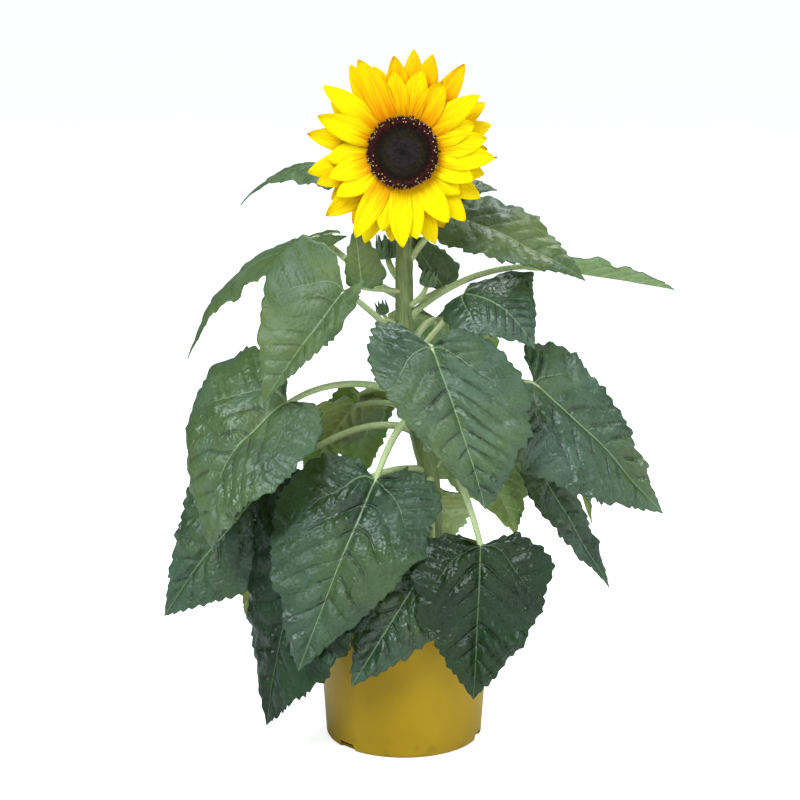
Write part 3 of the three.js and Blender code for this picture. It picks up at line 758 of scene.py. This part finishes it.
def draw_blade(bm, leaf, stand, seed, puckered):
    """Draws a puckered, toothed blade, its veins sunk above and raised below."""
    rows = max(26, round(leaf.long / BLADE_CELL))
    columns = 2 * max(8, round(leaf.wide / BLADE_CELL / 2))
    where = bm.verts.layers.float_vector.new("leaf_place")
    veins = bm.verts.layers.float_vector.new("leaf_veins")
    sheet, upper = thin_sheet(bm, rows, columns)
    for face in bm.faces:
        face.material_index = 0 if any(vert in upper for vert in face.verts) else 1
    margin = leaf_margin(leaf.lobe, rows)
    arcs = [0]
    for before, after in zip(margin, margin[1:]):
        step = Vector(((after.x - before.x) * leaf.long, (after.y - before.y) * leaf.wide / 2))
        arcs.append(arcs[-1] + step.length)
    size = 0.4 + 0.6 * min(1, leaf.long / GROWN_LENGTH)
    for vert in sheet:
        share = vert.co.x + 0.5
        row = round(share * rows)
        edge, arc = margin[row], arcs[row]
        side = vert.co.y * 2
        out = abs(side)
        hand = 1 if side > 0 else -1
        half = leaf.wide / 2 * (1 + leaf.uneven * hand * min(1, out * 4))
        reach = max(edge.y * half, BLADE_TIP)
        a = share ** BLADE_ROW_BIAS * (1 - out) + edge.x * out
        sway = MARGIN_SWAY * noise.noise((arc / 21, seed, hand * 5))
        b = side * reach * (1 + sway * min(1, (1 - share) * 6))
        rim = max(0, (out - TEETH_FROM) / (1 - TEETH_FROM)) ** 1.5
        bite = rim * tooth(arc, seed + hand * 9) * min(1, share * 9)
        bite *= min(1, (1 - share) * 9 + 0.08)
        outward = Vector(((a - 0.35) * leaf.long, b)).normalized()
        a += outward.x * bite * TOOTH_DEPTH * size / leaf.long
        b += outward.y * bite * TOOTH_DEPTH * size
        run = a * leaf.long
        phase, branch = vein_phases(leaf, run, b, half, seed)
        dome, raised = crinkle(run, b, phase if phase > 0 else branch, seed)
        valley = 1 - math.exp(-(b / 4.2) ** 2)
        flat = min(1, (1 - out) * 4 + 0.2) * min(1, reach / 10)
        ruffle = noise.noise((arc / 15, seed, hand * 3)) * RUFFLE * out ** 3
        ruffle *= smooth_rise(2, 16, reach)
        drift = noise.noise((run / 42, b / 42, seed + 7)) * DRIFT
        loose = smooth_rise(4, 30, math.hypot(run, b))
        height = raised * valley * flat * size * puckered
        height += (ruffle + drift) * loose * size
        height -= SINK * size * loose
        if vert not in upper:
            rib = math.exp(-(b / (2.2 - 1.5 * a)) ** 2) * RIB_HEIGHT * (1 - 0.8 * a)
            height -= BLADE_THICK + rib * min(1, reach / 6)
            height -= VEIN_HEIGHT * (1 - dome) * flat * valley
        vert.co = blade_point(leaf, stand, a, b, height + BLADE_THICK / 2)
        vert[where] = (run / CM, b / CM, leaf.long / SIDE_VEINS / CM)
        vert[veins] = (phase, branch, out)


def swung(bends, steps):
    """Points on the swing from the first bend to the last that the two others draw it into."""
    points = []
    for t in (i / steps for i in range(steps + 1)):
        rest = 1 - t
        ends = bends[0] * rest ** 3 + bends[1] * 3 * t * rest ** 2
        points.append(ends + bends[2] * 3 * t * t * rest + bends[3] * t ** 3)
    return points


def draw_stalk(bm, leaf, stand, seed):
    """Draws the channelled stalk from inside the stem to its end under the blade's midrib."""
    root, base = stand[0], stand[1]
    reach = (base - root).length
    leave = direction(leaf.toward, leaf.rise) * reach * 0.36
    arrive = direction(leaf.toward, leaf.end) * reach * 0.34
    end = blade_point(leaf, stand, 0, 0, -STALK_KEEL)
    points = swung((root, root + leave, end - arrive, end), 8)
    points.append(blade_point(leaf, stand, STALK_SUNK, 0, -STALK_SINK))
    line = even_line(points, STALK_STEPS)
    thick = 1.75 + 1.45 * min(1, leaf.long / GROWN_LENGTH)

    def radius_at(share):
        flare = 1 + 0.5 * max(0, 1 - share / 0.14) ** 1.5
        narrowed = 1 - 0.6 * smooth_rise(0.93, 1, share)
        return thick * (1 - (1 - STALK_TAPER) * share) * flare * narrowed

    def channel(angle):
        return 1 - STALK_CHANNEL * max(0, math.sin(angle)) ** 5

    known = set(bm.verts)
    frames = limb_frames(line, direction(leaf.toward + 90))
    limb(bm, frames, radius_at, STALK_SIDES, channel)
    chance = random.Random(seed)
    for _ in range(STALK_BRISTLES):
        i = chance.randint(2, STALK_STEPS - 4)
        angle = chance.uniform(0, math.tau)
        lean = frames[i].col[0].xyz * math.cos(angle) + frames[i].col[1].xyz * math.sin(angle)
        lean.normalize()
        foot = line[i] + lean * radius_at(i / STALK_STEPS) * 0.85
        way = (lean + stray(chance) * 0.3).normalized()
        bristle(bm, foot, way, chance.uniform(0.9, 1.8), 0.11)
    clad([vert for vert in bm.verts if vert not in known], 2)


veining, given, result = start_group(
    "leaf_veins",
    {"Place": "Vector", "Veins": "Vector", "Width": "Float"},
    dict.fromkeys(("Ribs", "Side veins", "Net", "Blisters", "Creases"), "Float"),
)
phase, branch, out = split(veining, given["Veins"])
run, across, gap = split(veining, given["Place"])
side_gap = times(veining, maths(veining, "PINGPONG", phase, 0.5), gap)
branch_gap = times(veining, maths(veining, "PINGPONG", branch, 0.5), BRANCH_GAP / CM)
ahead = maths(veining, "GREATER_THAN", phase)
nearest = place(veining, "Mix", {0: ahead, 2: branch_gap, 3: side_gap}).outputs[0]
line_width = times(veining, given["Width"], step_mask(veining, out, 0.1, 0.95, 1.0, 0.4))
trunk_gap = times(veining, maths(veining, "ABSOLUTE", phase), gap)
trunk = step_mask(veining, maths(veining, "DIVIDE", trunk_gap, line_width), 1.9, 0.7)
trunk = times(veining, trunk, step_mask(veining, out, 0.45, 0.9, 0.8, 0.1))
rib_width = step_mask(veining, phase, 0, SIDE_VEINS, 0.062, 0.02)
rib = maths(veining, "DIVIDE", maths(veining, "ABSOLUTE", across), rib_width)
net = place(
    veining, "TexVoronoi", {"Vector": given["Place"], "Scale": 2.3}, feature="DISTANCE_TO_EDGE"
).outputs["Distance"]
crease = step_mask(veining, nearest, 0.19, 0)
feed(veining, result, {
    "Ribs": maths(veining, "MAXIMUM", step_mask(veining, rib, 1.2, 0.5), trunk),
    "Side veins": step_mask(veining, maths(veining, "DIVIDE", nearest, line_width), 1.4, 0.4),
    "Net": step_mask(veining, net, 0.09, 0),
    "Blisters": step_mask(veining, net, 0, 0.42),
    "Creases": times(veining, crease, step_mask(veining, out, 0.1, 0.85, 1.0, 0.15)),
})


def drawn_in(tree, name, kind="Vector"):
    """A value that the drawing left at each point of the mesh."""
    return place(tree, "Attribute", {}, attribute_name=name).outputs[kind]


def leaf_skin(name, deep, bright, vein, shares, gloss, shining, width, relief):
    """A leaf's face; `shares` is how strongly its ribs, side veins and net of veins show pale."""
    material, tree, skin = start_material(name)
    deep, bright, vein = paint(*deep), paint(*bright), paint(*vein)
    shade = (*(part * 0.45 for part in deep[:3]), 1.0)
    # Painted light: lighter, yellower patches of painted sunlight, and pale bluish patches of painted
    # sheen that stand for the sky's reflection.
    sunny = (bright[0] * 1.6, bright[1] * 1.2, bright[2] * 0.7, 1.0)
    painted_sky_sheen = (bright[0] * 1.5, bright[1] * 1.4, bright[2] * 2.3, 1.0)
    where = own_place(tree)
    veins = use_group(tree, veining, {
        "Place": drawn_in(tree, "leaf_place"),
        "Veins": drawn_in(tree, "leaf_veins"),
        "Width": width,
    })
    # Painted shade: the creases beside the side veins are painted darker in broken patches, as strongly
    # as the relief, besides being sunk by the bump.
    shaded_creases = times(tree, veins["Creases"], blotch(tree, where, 65, 0.38, 0.58))
    tone = mixed(tree, blotch(tree, where, 22, 0.3, 0.7), deep, bright)
    for tint, mask, share in (
        (bright, blotch(tree, where, 260, 0.35, 0.7), 0.35),
        (sunny, blotch(tree, where, 13, 0.44, 0.66), 0.75),
        (painted_sky_sheen, blotch(tree, where, 19, 0.5, 0.66), 0.5),
        (shade, shaded_creases, relief),
        (vein, veins["Net"], shares[2]),
        (vein, veins["Side veins"], shares[1]),
        (vein, veins["Ribs"], shares[0]),
    ):
        tone = tinted(tree, tone, tint, mask, share)
    height = maths(tree, "SUBTRACT", times(tree, veins["Blisters"], 0.45), shaded_creases)
    shine = blotch(tree, where, 22, 0.35, 0.62)
    feed(tree, skin, {
        "Base Color": tone,
        "Roughness": step_mask(tree, shine, 0, 1, gloss, gloss + 0.16),
        "Normal": bumped(tree, height, 0.0012 * relief, 0.8),
        "Specular IOR Level": shining,
    })
    return material


GROWN_VEINS = (0.8, 0.14, 0.05)
SKINS = {name: leaf_skin(name, *row) for name, row in dict(
    leaf_grown=((40, 60, 36), (68, 93, 58), (140, 162, 112), GROWN_VEINS, 0.37, 0.65, 0.035, 0.85),
    leaf_shaded=((31, 50, 27), (54, 79, 45), (130, 154, 102), GROWN_VEINS, 0.37, 0.6, 0.035, 0.85),
    leaf_dark=(
        (17, 34, 11), (30, 53, 20), (100, 124, 76), (0.7, 0.14, 0.05), 0.34, 0.4, 0.032, 0.85,
    ),
    leaf_young=(
        (54, 74, 36), (76, 98, 52), (136, 158, 104), (0.55, 0.14, 0.08), 0.44, 0.5, 0.03, 0.45,
    ),
    leaf_back=(
        (128, 148, 96), (150, 170, 116), (194, 208, 154), (0.85, 0.6, 0.25), 0.5, 0.3, 0.055, 0.2,
    ),
).items()}
leaf_back = SKINS["leaf_back"]
feed(leaf_back.node_tree, leaf_back.node_tree.nodes["Principled BSDF"], {
    "Subsurface Weight": 0.42,
    "Subsurface Radius": (0.7, 1.0, 0.25),
    "Subsurface Scale": 0.002,
})
# leaf_shaded and leaf_dark are darker copies of the grown leaf's skin: painted shade for the low leaves
# that hang under the others, and for the darkest also their own deeper green.
OTHER_LEAVES = {
    "leaf_dark": ("front_right_low", "left_lowest", "back_low"),
    "leaf_shaded": (
        "front_left", "front_low", "left_low", "right_low", "back_left_low", "back_mid",
    ),
    "leaf_young": (
        "left_upper", "left_high", "left_small", "right_small", "right_high", "right_far",
        "top_left", "top_right", "top_right_low", "top_back",
    ),
}
skin_of = {name: skin for skin, names in OTHER_LEAVES.items() for name in names}
for seed, (name, leaf) in enumerate(LEAVES.items()):
    stand = stand_of(leaf)
    skin = skin_of.get(name, "leaf_grown")
    bm = bmesh.new()
    draw_blade(bm, leaf, stand, seed + 1, YOUNG_PUCKER if skin == "leaf_young" else 1)
    draw_stalk(bm, leaf, stand, seed)
    materials = [SKINS[skin], leaf_back, petiole_green]
    finish_piece(bm, name + "_leaf", "leaf", materials, "leaf_" + name)

# The buds
# Three closed flower buds on short side shoots: a green egg wrapped in rows of pointed, hairy
# bracts whose tips stand off. The shoots grow out of the stem between the upper leaves.

Bud = namedtuple("Bud", "node toward out up rise stalk_radius radius long")
BUDS = {
    "bud_left": Bud(345, 120, 24, 18, 35, 2.4, 6.5, 17),
    "bud_right": Bud(328, -28, 19, 20, 35, 1.9, 5, 12),
    "bud_low": Bud(314, -165, 16, 12, 35, 1.5, 3.6, 9),
}
BUD_UPWARD = 75
BUD_ROWS = (  # bracts, reach, girth, turn
    (8, 0.55, 1.16, 0.0), (9, 0.82, 1.1, 0.5), (8, 1.08, 1.0, 0.25),
)
BUD_BRACT_THICK = 0.5
BUD_BRISTLES = 160
HAIR_THICK = 0.09


def slab(bm, across, along, thick, place_point):
    """A thin sheet bent into shape: `place_point` takes shares across and along, and a height."""
    fresh, upper = thin_sheet(bm, across, along)
    for vert in fresh:
        height = thick / 2 if vert in upper else -thick / 2
        vert.co = place_point(vert.co.x * 2, vert.co.y + 0.5, height)
    return fresh


def green_scales(name, deep, bright):
    material, tree, skin = start_material(name)
    where = own_place(tree)
    tone = mixed(tree, blotch(tree, where, 60, 0.3, 0.7), deep, bright)
    down = blotch(tree, own_place(tree, (1, 1, 0.3)), 1500, 0.5, 0.75)
    feed(tree, skin, {
        "Base Color": tinted(tree, tone, paint(176, 192, 142), down, 0.4),
        "Roughness": step_mask(tree, down, 0, 1, 0.5, 0.72),
        "Normal": bumped(tree, down, 0.0003),
        "Sheen Weight": 0.3,
        "Sheen Roughness": 0.5,
    })
    return material


bract_green = green_scales("bract_green", paint(52, 78, 36), paint(88, 116, 60))
for name, bud in BUDS.items():
    upward = direction(bud.toward, BUD_UPWARD)
    root = stem_at(bud.node)
    base = root + direction(bud.toward) * bud.out + Vector((0, 0, bud.up))
    leave = direction(bud.toward, bud.rise) * bud.out * 0.5
    shoot = swung((root, root + leave, base - upward * bud.up * 0.5, base), 16)
    bm = bmesh.new()
    frames = limb_frames(shoot, direction(bud.toward + 90))
    limb(bm, frames, lambda share: bud.stalk_radius * (1.3 - 0.4 * share), STALK_SIDES)
    clad(bm.verts, 1)
    stand = stood(base, upward)
    fresh = bmesh.ops.create_uvsphere(bm, u_segments=24, v_segments=16, radius=1)["verts"]
    for vert in fresh:
        rise = (vert.co.z + 1) / 2
        girth = bud.radius * (1 - 0.35 * max(0, rise - 0.35))
        vert.co = (vert.co.x * girth, vert.co.y * girth, bud.long * (0.92 * rise - 0.05))
    bmesh.ops.transform(bm, matrix=stand, verts=fresh)
    for count, reach, girth, turned_by in BUD_ROWS:
        for i in range(count):
            bearing = 360 * (i + turned_by) / count
            flare = 0.5 + 0.5 * noise.noise((bearing, bud.node, reach * 9))

            def scale_point(side, share, height):
                belly = math.sin(math.pi * min(1, 0.2 + share * 0.75)) ** 0.6
                out = bud.radius * girth * (0.5 + 0.58 * belly) + height
                out += (0.6 + 2.4 * flare) * share ** 3
                breadth = bud.radius * 0.46 * (1 - share) ** 0.75 * (0.75 + 0.6 * share)
                bulge = -0.45 * side * side * breadth * 0.5
                return (
                    direction(bearing) * (out + bulge)
                    + direction(bearing + 90) * side * breadth
                    + Vector((0, 0, bud.long * (reach * share - 0.02)))
                )

            fresh = slab(bm, 6, 10, BUD_BRACT_THICK, scale_point)
            bmesh.ops.transform(bm, matrix=stand, verts=fresh)
    chance = random.Random(bud.node)
    for _ in range(BUD_BRISTLES):
        foot = chance.choice(fresh).co
        way = (stray(chance) + upward * 0.4).normalized()
        bristle(bm, foot, way, chance.uniform(0.8, 1.5), HAIR_THICK)
    finish_piece(bm, "hairy_" + name, "bud_green", [bract_green, petiole_green], name)

# The calyx
# The green cup that holds the bloom from behind, where the stem's neck widens. Three rows of
# pointed bracts grow from it and lie flat on the backs of the petals.

CALYX_RADIUS = 23
CALYX_FRONT = 21
CALYX_LOBES = 13
BRACT_ROWS = (  # bracts, tip radius, lean, level, turn
    (13, 40, 3, -7.2, 0.0), (12, 36, 6, -5.0, 0.5), (12, 31, 9, -3.2, 0.2),
)
BRACT_ROOT = 13
BRACT_DROOP = 2.0
BRACT_KEEL = -0.14
BRACT_THICK = 0.7
BRACT_BRISTLES = 14

bloom_turn = Matrix.Translation(BLOOM_CENTRE)
bloom_turn = bloom_turn @ Matrix.Rotation(math.radians(90 - BLOOM_UPWARD), 4, "X")


def ray_point(
    bearing, root, tip, width, lean, droop, keel, level, fullness, side, share, height
):
    """A point of a pointed blade that lies outwards from the bloom's axis."""
    swell = math.sin(math.pi * (0.12 + 0.88 * share ** 1.15)) ** fullness
    across = side / 2 * width * max(0.03, swell)
    reach = root + (tip - root) * share
    rise = math.tan(math.radians(lean)) * (reach - root) - droop * share * share
    return (
        direction(bearing) * reach
        + direction(bearing + 90) * across
        + Vector((0, 0, level + rise - abs(across) * keel * share + height))
    )


bm = bmesh.new()
turned(bm, [Vector((radius, 0, height)) for radius, height in (
    (0, -CALYX_LENGTH - 1), (5.4, -CALYX_LENGTH - 1), (6.6, -CALYX_LENGTH + 0.6), (10.4, -14),
    (14.6, -11.6), (18.4, -8.5), (21.4, -5.6), (CALYX_RADIUS, -3.2), (22.6, -1.8),
    (CALYX_FRONT, -1.1), (0, -1.1),
)], 72)
for vert in bm.verts:
    angle = math.atan2(vert.co.y, vert.co.x)
    vert.co *= 1 + 0.02 * math.cos(CALYX_LOBES * angle) * smooth_rise(6, 16, vert.co.xy.length)
chance = random.Random(5)
for count, tip, lean, level, turned_by in BRACT_ROWS:
    for i in range(count):
        bearing = 360 * (i + turned_by + chance.uniform(-0.12, 0.12)) / count
        far = tip * chance.uniform(0.92, 1.0)
        width = chance.uniform(11, 14)
        droop = BRACT_DROOP - chance.uniform(-1.5, 4)
        fresh = slab(bm, 8, 14, BRACT_THICK, lambda side, share, height: ray_point(
            bearing, BRACT_ROOT, far, width, lean, droop, BRACT_KEEL, level, 0.8,
            side, share, height,
        ))
        for _ in range(BRACT_BRISTLES):
            foot = chance.choice(fresh).co.copy()
            way = (direction(bearing) * 0.7 + stray(chance)).normalized()
            bristle(bm, foot, way, chance.uniform(0.9, 1.7), HAIR_THICK)
bmesh.ops.transform(bm, matrix=bloom_turn, verts=bm.verts[:])
finish_piece(bm, "calyx_cup", "bud_green", [bract_green], "flower_calyx")

# The petals
# Two rows of broad silky ray petals round the disc, pleated lengthwise, blunt-pointed and lightly
# curled. They are clear yellow with warm orange-yellow roots, and each row grows from its own ring.
# The back row and the upper petals are painted a deeper orange-yellow as painted shade, and their
# warm roots reach further.

RAY_ROOT = 18
RAY_DROOP = 3.4
RAY_KEEL = 0.1
RAY_ROW_GAP = 2.2
RAY_THICK = 0.5
RAY_PLEAT = 0.34
RAY_CREASE = 0.9
# Each row: width, lean, seed, and its petals as bearing, where 90 is the top, and the tip's radius.
RAY_ROWS = {
    "petals_back": (18.5, 5, 30, (
        (-169, 69), (-160, 65), (-149, 61), (-138, 71), (-126, 62), (-115, 70), (-99, 64),
        (-86, 61), (-73, 69), (-60, 61), (-47, 66), (-31, 64), (-16, 60), (2, 60), (17, 66),
        (31, 68), (53, 76), (71, 72), (81, 73), (93, 68), (107, 64), (123, 72), (147, 63),
        (169, 69),
    )),
    "petals_front": (18, 15, 41, (
        (-178, 54), (-162, 55), (-145, 56), (-121, 69), (-106, 58), (-93, 67), (-83, 62),
        (-58, 59), (-37, 50), (-20, 54), (-5, 65), (8, 60), (22, 55), (38, 67), (58, 57),
        (79, 60), (96, 57), (113, 72), (138, 73), (157, 65),
    )),
}


def seeded(state):
    """The bloom's own chances, the same on every run."""
    while True:
        state = state * 16807 % 2147483647
        yield state / 2147483647


def petal_silk():
    material, tree, skin = start_material("petal_silk")
    # How much painted shade each petal carries, 0 to 1.
    shade_share = drawn_in(tree, "petal_painted_shade", "Fac")
    share, side, own = split(tree, drawn_in(tree, "petal_place"))

    def lengthwise(across, along):
        """Coordinates that stretch a pattern along a petal, another part of it on each."""
        pleated = {"X": times(tree, side, across), "Y": times(tree, share, along), "Z": own}
        return place(tree, "CombineXYZ", pleated).outputs[0]

    streak = blotch(tree, lengthwise(5.5, 1), 2.2, 0.35, 0.65)
    clear = mixed(tree, streak, paint(250, 220, 0), paint(254, 234, 0))
    # The deeper orange-yellow of the petals painted in shade.
    painted_shade_gold = mixed(tree, streak, paint(246, 187, 0), paint(251, 205, 0))
    warm = mixed(tree, streak, paint(238, 132, 0), paint(244, 160, 0))
    # The warm roots are the petals' own colour; they reach further on the petals painted in shade.
    warm_end = step_mask(tree, shade_share, 0, 1, 0.55, 1.08)
    along = maths(tree, "ADD", share, times(tree, streak, 0.12))
    warmth = step_mask(tree, along, warm_end, 0.12)
    tone = mixed(tree, warmth, mixed(tree, shade_share, clear, painted_shade_gold), warm)
    fine = cloud(tree, lengthwise(26, 1.5), 1, 3)
    near_root = step_mask(tree, share, 0.24, 0.06)
    root_lines = times(tree, near_root, step_mask(tree, fine, 0.5, 0.6))
    feed(tree, skin, {
        "Base Color": tinted(tree, tone, paint(140, 60, 10), root_lines, 0.55),
        "Roughness": step_mask(tree, fine, 0.3, 0.7, 0.5, 0.66),
        "Normal": bumped(tree, fine, 0.0006, 0.8),
        "Specular IOR Level": 0.06,
    })
    return material


silk = petal_silk()
for row, (row_name, (width, lean, seed, petals)) in enumerate(RAY_ROWS.items()):
    level = row * RAY_ROW_GAP
    chances = seeded(seed)
    chance = random.Random(seed)
    bm = bmesh.new()
    spots = bm.verts.layers.float_vector.new("petal_place")
    shade_layer = bm.verts.layers.float.new("petal_painted_shade")
    turned(bm, [Vector((radius, 0, level + height)) for radius, height in (
        (0, -0.5), (20, -0.5), (20.3, 0), (19.6, 0.5), (17, 1.2), (0, 1.2),
    )], 64)
    for bearing, tip in petals:
        broad = width * (1 - 0.12 * next(chances)) * 1.08
        own_lean = lean + 4 * (next(chances) - 0.5)
        own = chance.uniform(0, 40)
        cup = chance.uniform(-0.03, 0.05)
        curl = chance.uniform(-3.2, 2.4)
        sway = chance.uniform(-3.0, 3.0)
        twist = chance.uniform(-0.16, 0.16)
        # Painted shade: the back row, in the front row's shade, is painted a deeper orange-yellow, and
        # the upper petals more still.
        shade_share = chance.uniform(0.0, 0.35) if row else chance.uniform(0.2, 0.75)
        shade_share = min(1, shade_share + 0.6 * max(0, math.sin(math.radians(bearing))) ** 3)

        def petal_point(side, share, height):
            fan = math.sin(math.pi * min(1, share * 1.05 + 0.02)) ** 0.7
            pleat = RAY_PLEAT * math.cos(side * 3 * math.pi) * fan
            crease = -RAY_CREASE * math.exp(-(side / 0.22) ** 2) * (1 - share) * share * 2
            point = ray_point(
                bearing + sway * share * share, RAY_ROOT - 1.5, tip, broad, own_lean, RAY_DROOP,
                RAY_KEEL, level, 0.72, side, share, height,
            )
            across = side * broad / 2
            lift = pleat + crease + cup * across * across * share + curl * share ** 3
            return point + Vector((0, 0, lift + twist * across * share))

        for vert in slab(bm, 16, 30, RAY_THICK, petal_point):
            away = vert.co.xy
            radial = direction(bearing).xy
            share = (away.dot(radial) - RAY_ROOT) / (tip - RAY_ROOT)
            vert[spots] = (share, (away - radial * away.dot(radial)).length / 9, own)
            vert[shade_layer] = shade_share
    bmesh.ops.transform(bm, matrix=bloom_turn, verts=bm.verts[:])
    finish_piece(bm, "silky_" + row_name, "petal", [silk], row_name)

# The disc
# Over a thousand tiny florets packed in spirals on a domed disc. A black middle lies in closed
# purple-grey knobs, with an olive-brown band round them, and the open outer ring is dark maroon
# with cream tips.

DISC_RADIUS = 22.6
DISC_SEAT = 3.85
DISC_FACE = ((0, 11.3), (2.4, 11.4), (6, 12.5), (12.75, 12.9), (19.9, 11.5), (24, 9.6), (25.3, 7.6))
DISC_UNDER = 1.2  # how far the base lies under the face
FLORETS = 1150
GOLDEN_TURN = math.pi * (3 - math.sqrt(5))
# The shares of the radius where the black, the small and the purple florets, the knobs, the olive
# ones and the stubs end.
BLACK_END, SMALL_END, PURPLE_END, KNOBS_END, OLIVE_END, STUBS_END = 0.1, 0.2, 0.5, 0.66, 0.79, 0.83
PURPLE, OLIVE, MAROON, CREAM, BLACK = range(5)


def disc_height(out):
    for (near, high), (far, low) in zip(DISC_FACE, DISC_FACE[1:]):
        if out <= far:
            return high + (low - high) * smooth_rise(near, far, out)
    return DISC_FACE[-1][1]


def floret_skin(name, deep, bright, rough):
    material, tree, skin = start_material(name)
    where = own_place(tree)
    feed(tree, skin, {
        "Base Color": mixed(tree, blotch(tree, where, 500, 0.35, 0.65), deep, bright),
        "Roughness": step_mask(tree, blotch(tree, where, 900), 0, 1, rough, rough + 0.15),
        "Specular IOR Level": 0.2,
        "Sheen Weight": 0.05,
    })
    return material


disc_skins = [
    floret_skin("floret_purple", paint(36, 25, 26), paint(58, 45, 46), 0.55),
    floret_skin("floret_olive", paint(33, 26, 5), paint(52, 43, 13), 0.6),
    floret_skin("floret_maroon", paint(42, 7, 2), paint(74, 22, 5), 0.5),
    floret_skin("floret_cream", paint(206, 160, 96), paint(236, 206, 140), 0.6),
    floret_skin("floret_black", paint(10, 7, 7), paint(22, 15, 14), 0.7),
]
bm = bmesh.new()
base_outline = [(0, DISC_SEAT), (19.3, DISC_SEAT), (25.0, 7.2)]
for out in (24.4, 22, 19.9, 16, 12.75, 9, 6, 4, 2.4, 0):
    base_outline.append((out, disc_height(out) - DISC_UNDER))
turned(bm, [Vector((out, 0, height)) for out, height in base_outline], 64)
chance = random.Random(8)
for i in range(FLORETS):
    out = DISC_RADIUS * math.sqrt((i + 0.5) / FLORETS)
    share = out / DISC_RADIUS
    angle = i * GOLDEN_TURN
    foot = Vector((out * math.cos(angle), out * math.sin(angle), disc_height(out) - 1.0))
    tilt = math.radians(62) * smooth_rise(0.55, 1, share) + math.radians(6) * share
    tilt += chance.uniform(-0.1, 0.1)
    level = math.sin(tilt)
    lean = Vector((math.cos(angle) * level, math.sin(angle) * level, math.cos(tilt)))
    turn = stood(foot, lean)
    if share < KNOBS_END:
        kind = PURPLE if share < PURPLE_END + chance.uniform(-0.06, 0.06) else OLIVE
        if share < BLACK_END:
            kind = BLACK
        size = 0.78 if share > SMALL_END else 0.62
        shape = Matrix.Diagonal((size, size, 1.15 + chance.uniform(-0.2, 0.2), 1))
        clad(knob(bm, turn @ shape), kind)
    elif share < STUBS_END:
        stub = cone(bm, 5, 0.75, 0.3, 2.2, turn @ Matrix.Translation((0, 0, 0.9)))
        clad(stub, OLIVE if share < OLIVE_END + chance.uniform(-0.04, 0.04) else MAROON)
    else:
        tall = chance.uniform(2.6, 4.6)
        rise = Matrix.Translation((0, 0, tall / 2 - 0.4))
        clad(cone(bm, 6, 0.5, 0.85, tall, turn @ rise), MAROON)
        for side in (-1, 1):
            curl = Matrix.Translation((side * 0.45, 0, tall)) @ Matrix.Rotation(side * 0.6, 4, "Y")
            clad(cone(bm, 4, 0.34, 0.06, 1.5, turn @ curl), MAROON)
        if chance.random() < 0.3:
            grain = Matrix.Translation((0, 0, tall - 0.1)) @ Matrix.Diagonal((0.5, 0.5, 0.5, 1))
            clad(knob(bm, turn @ grain), CREAM)
bmesh.ops.transform(bm, matrix=bloom_turn, verts=bm.verts[:])
finish_piece(bm, "floret_disc", "seed_disc", disc_skins, "flower_disc")

# The studio
# A large plain pale floor, soft daylight from above and in front with a little from the right,
# and a camera that stands over the pot and looks slightly down, as the photographer did.

FLOOR_HALF = 60000
FLOOR_GLOW = 0.75
CAMERA_SPOT = (-0.003, -1.6, 0.62)
CAMERA_DIP = 12.67
CAMERA_LENS = 99.27


def white_beyond(tree, colour):
    """White where the camera looks straight at it, and this colour in the light that it gives."""
    return mixed(tree, place(tree, "LightPath", {}).outputs["Is Camera Ray"], colour, (1, 1, 1, 1))


bm = bmesh.new()
bmesh.ops.create_grid(bm, x_segments=1, y_segments=1, size=FLOOR_HALF)
floor = new_object(bm, "pale_floor")
floor_paint, tree, skin = start_material("floor_paint")
faint = blotch(tree, own_place(tree), 2.5, 0.2, 0.8)
feed(tree, skin, {
    "Base Color": mixed(tree, faint, (0.8, 0.8, 0.8, 1), (0.84, 0.84, 0.84, 1)),
    "Emission Color": white_beyond(tree, (0, 0, 0, 1)),
    "Emission Strength": FLOOR_GLOW,
    "Roughness": 0.8,
    "Specular IOR Level": 0.1,
})
floor.data.materials.append(floor_paint)

sky = bpy.data.worlds.new("soft_daylight")
sky.use_nodes = True
tree = sky.node_tree
sky_light = white_beyond(tree, (0.27, 0.335, 0.4, 1))
feed(tree, tree.nodes["Background"], {"Color": sky_light, "Strength": 1.0})
bpy.context.scene.world = sky
bpy.context.scene.view_settings.view_transform = "Standard"


def softbox(name, spot, aim, size, power, colour):
    light = bpy.data.lights.new(name, "AREA")
    light.shape = "SQUARE"
    light.size = size
    light.energy = power
    light.color = colour
    lamp = bpy.data.objects.new(name, light)
    lamp.location = spot
    lamp.rotation_euler = (Vector(aim) - Vector(spot)).to_track_quat("-Z", "Y").to_euler()
    bpy.context.scene.collection.objects.link(lamp)


softbox("window_light", (-0.8, -1.3, 2.0), (0, 0, 0.3), 1.2, 54, (0.8, 0.91, 1.0))
softbox("front_fill", (0.9, -2.4, 0.9), (0, 0, 0.3), 1.2, 12, (1.0, 0.98, 0.95))
softbox("top_light", (0.5, 0.8, 1.9), (0, 0, 0.3), 0.9, 26, (0.95, 0.98, 1.0))
softbox("side_fill", (1.9, -0.3, 0.8), (0, 0, 0.25), 1.2, 10, (0.8, 0.91, 1.0))

lens = bpy.data.cameras.new("photo_camera")
lens.lens = CAMERA_LENS
lens.sensor_width = 36
lens.clip_end = 200
camera = bpy.data.objects.new("photo_camera", lens)
camera.location = CAMERA_SPOT
camera.rotation_euler = (math.radians(90 - CAMERA_DIP), 0, 0)
bpy.context.scene.collection.objects.link(camera)
bpy.context.scene.camera = camera
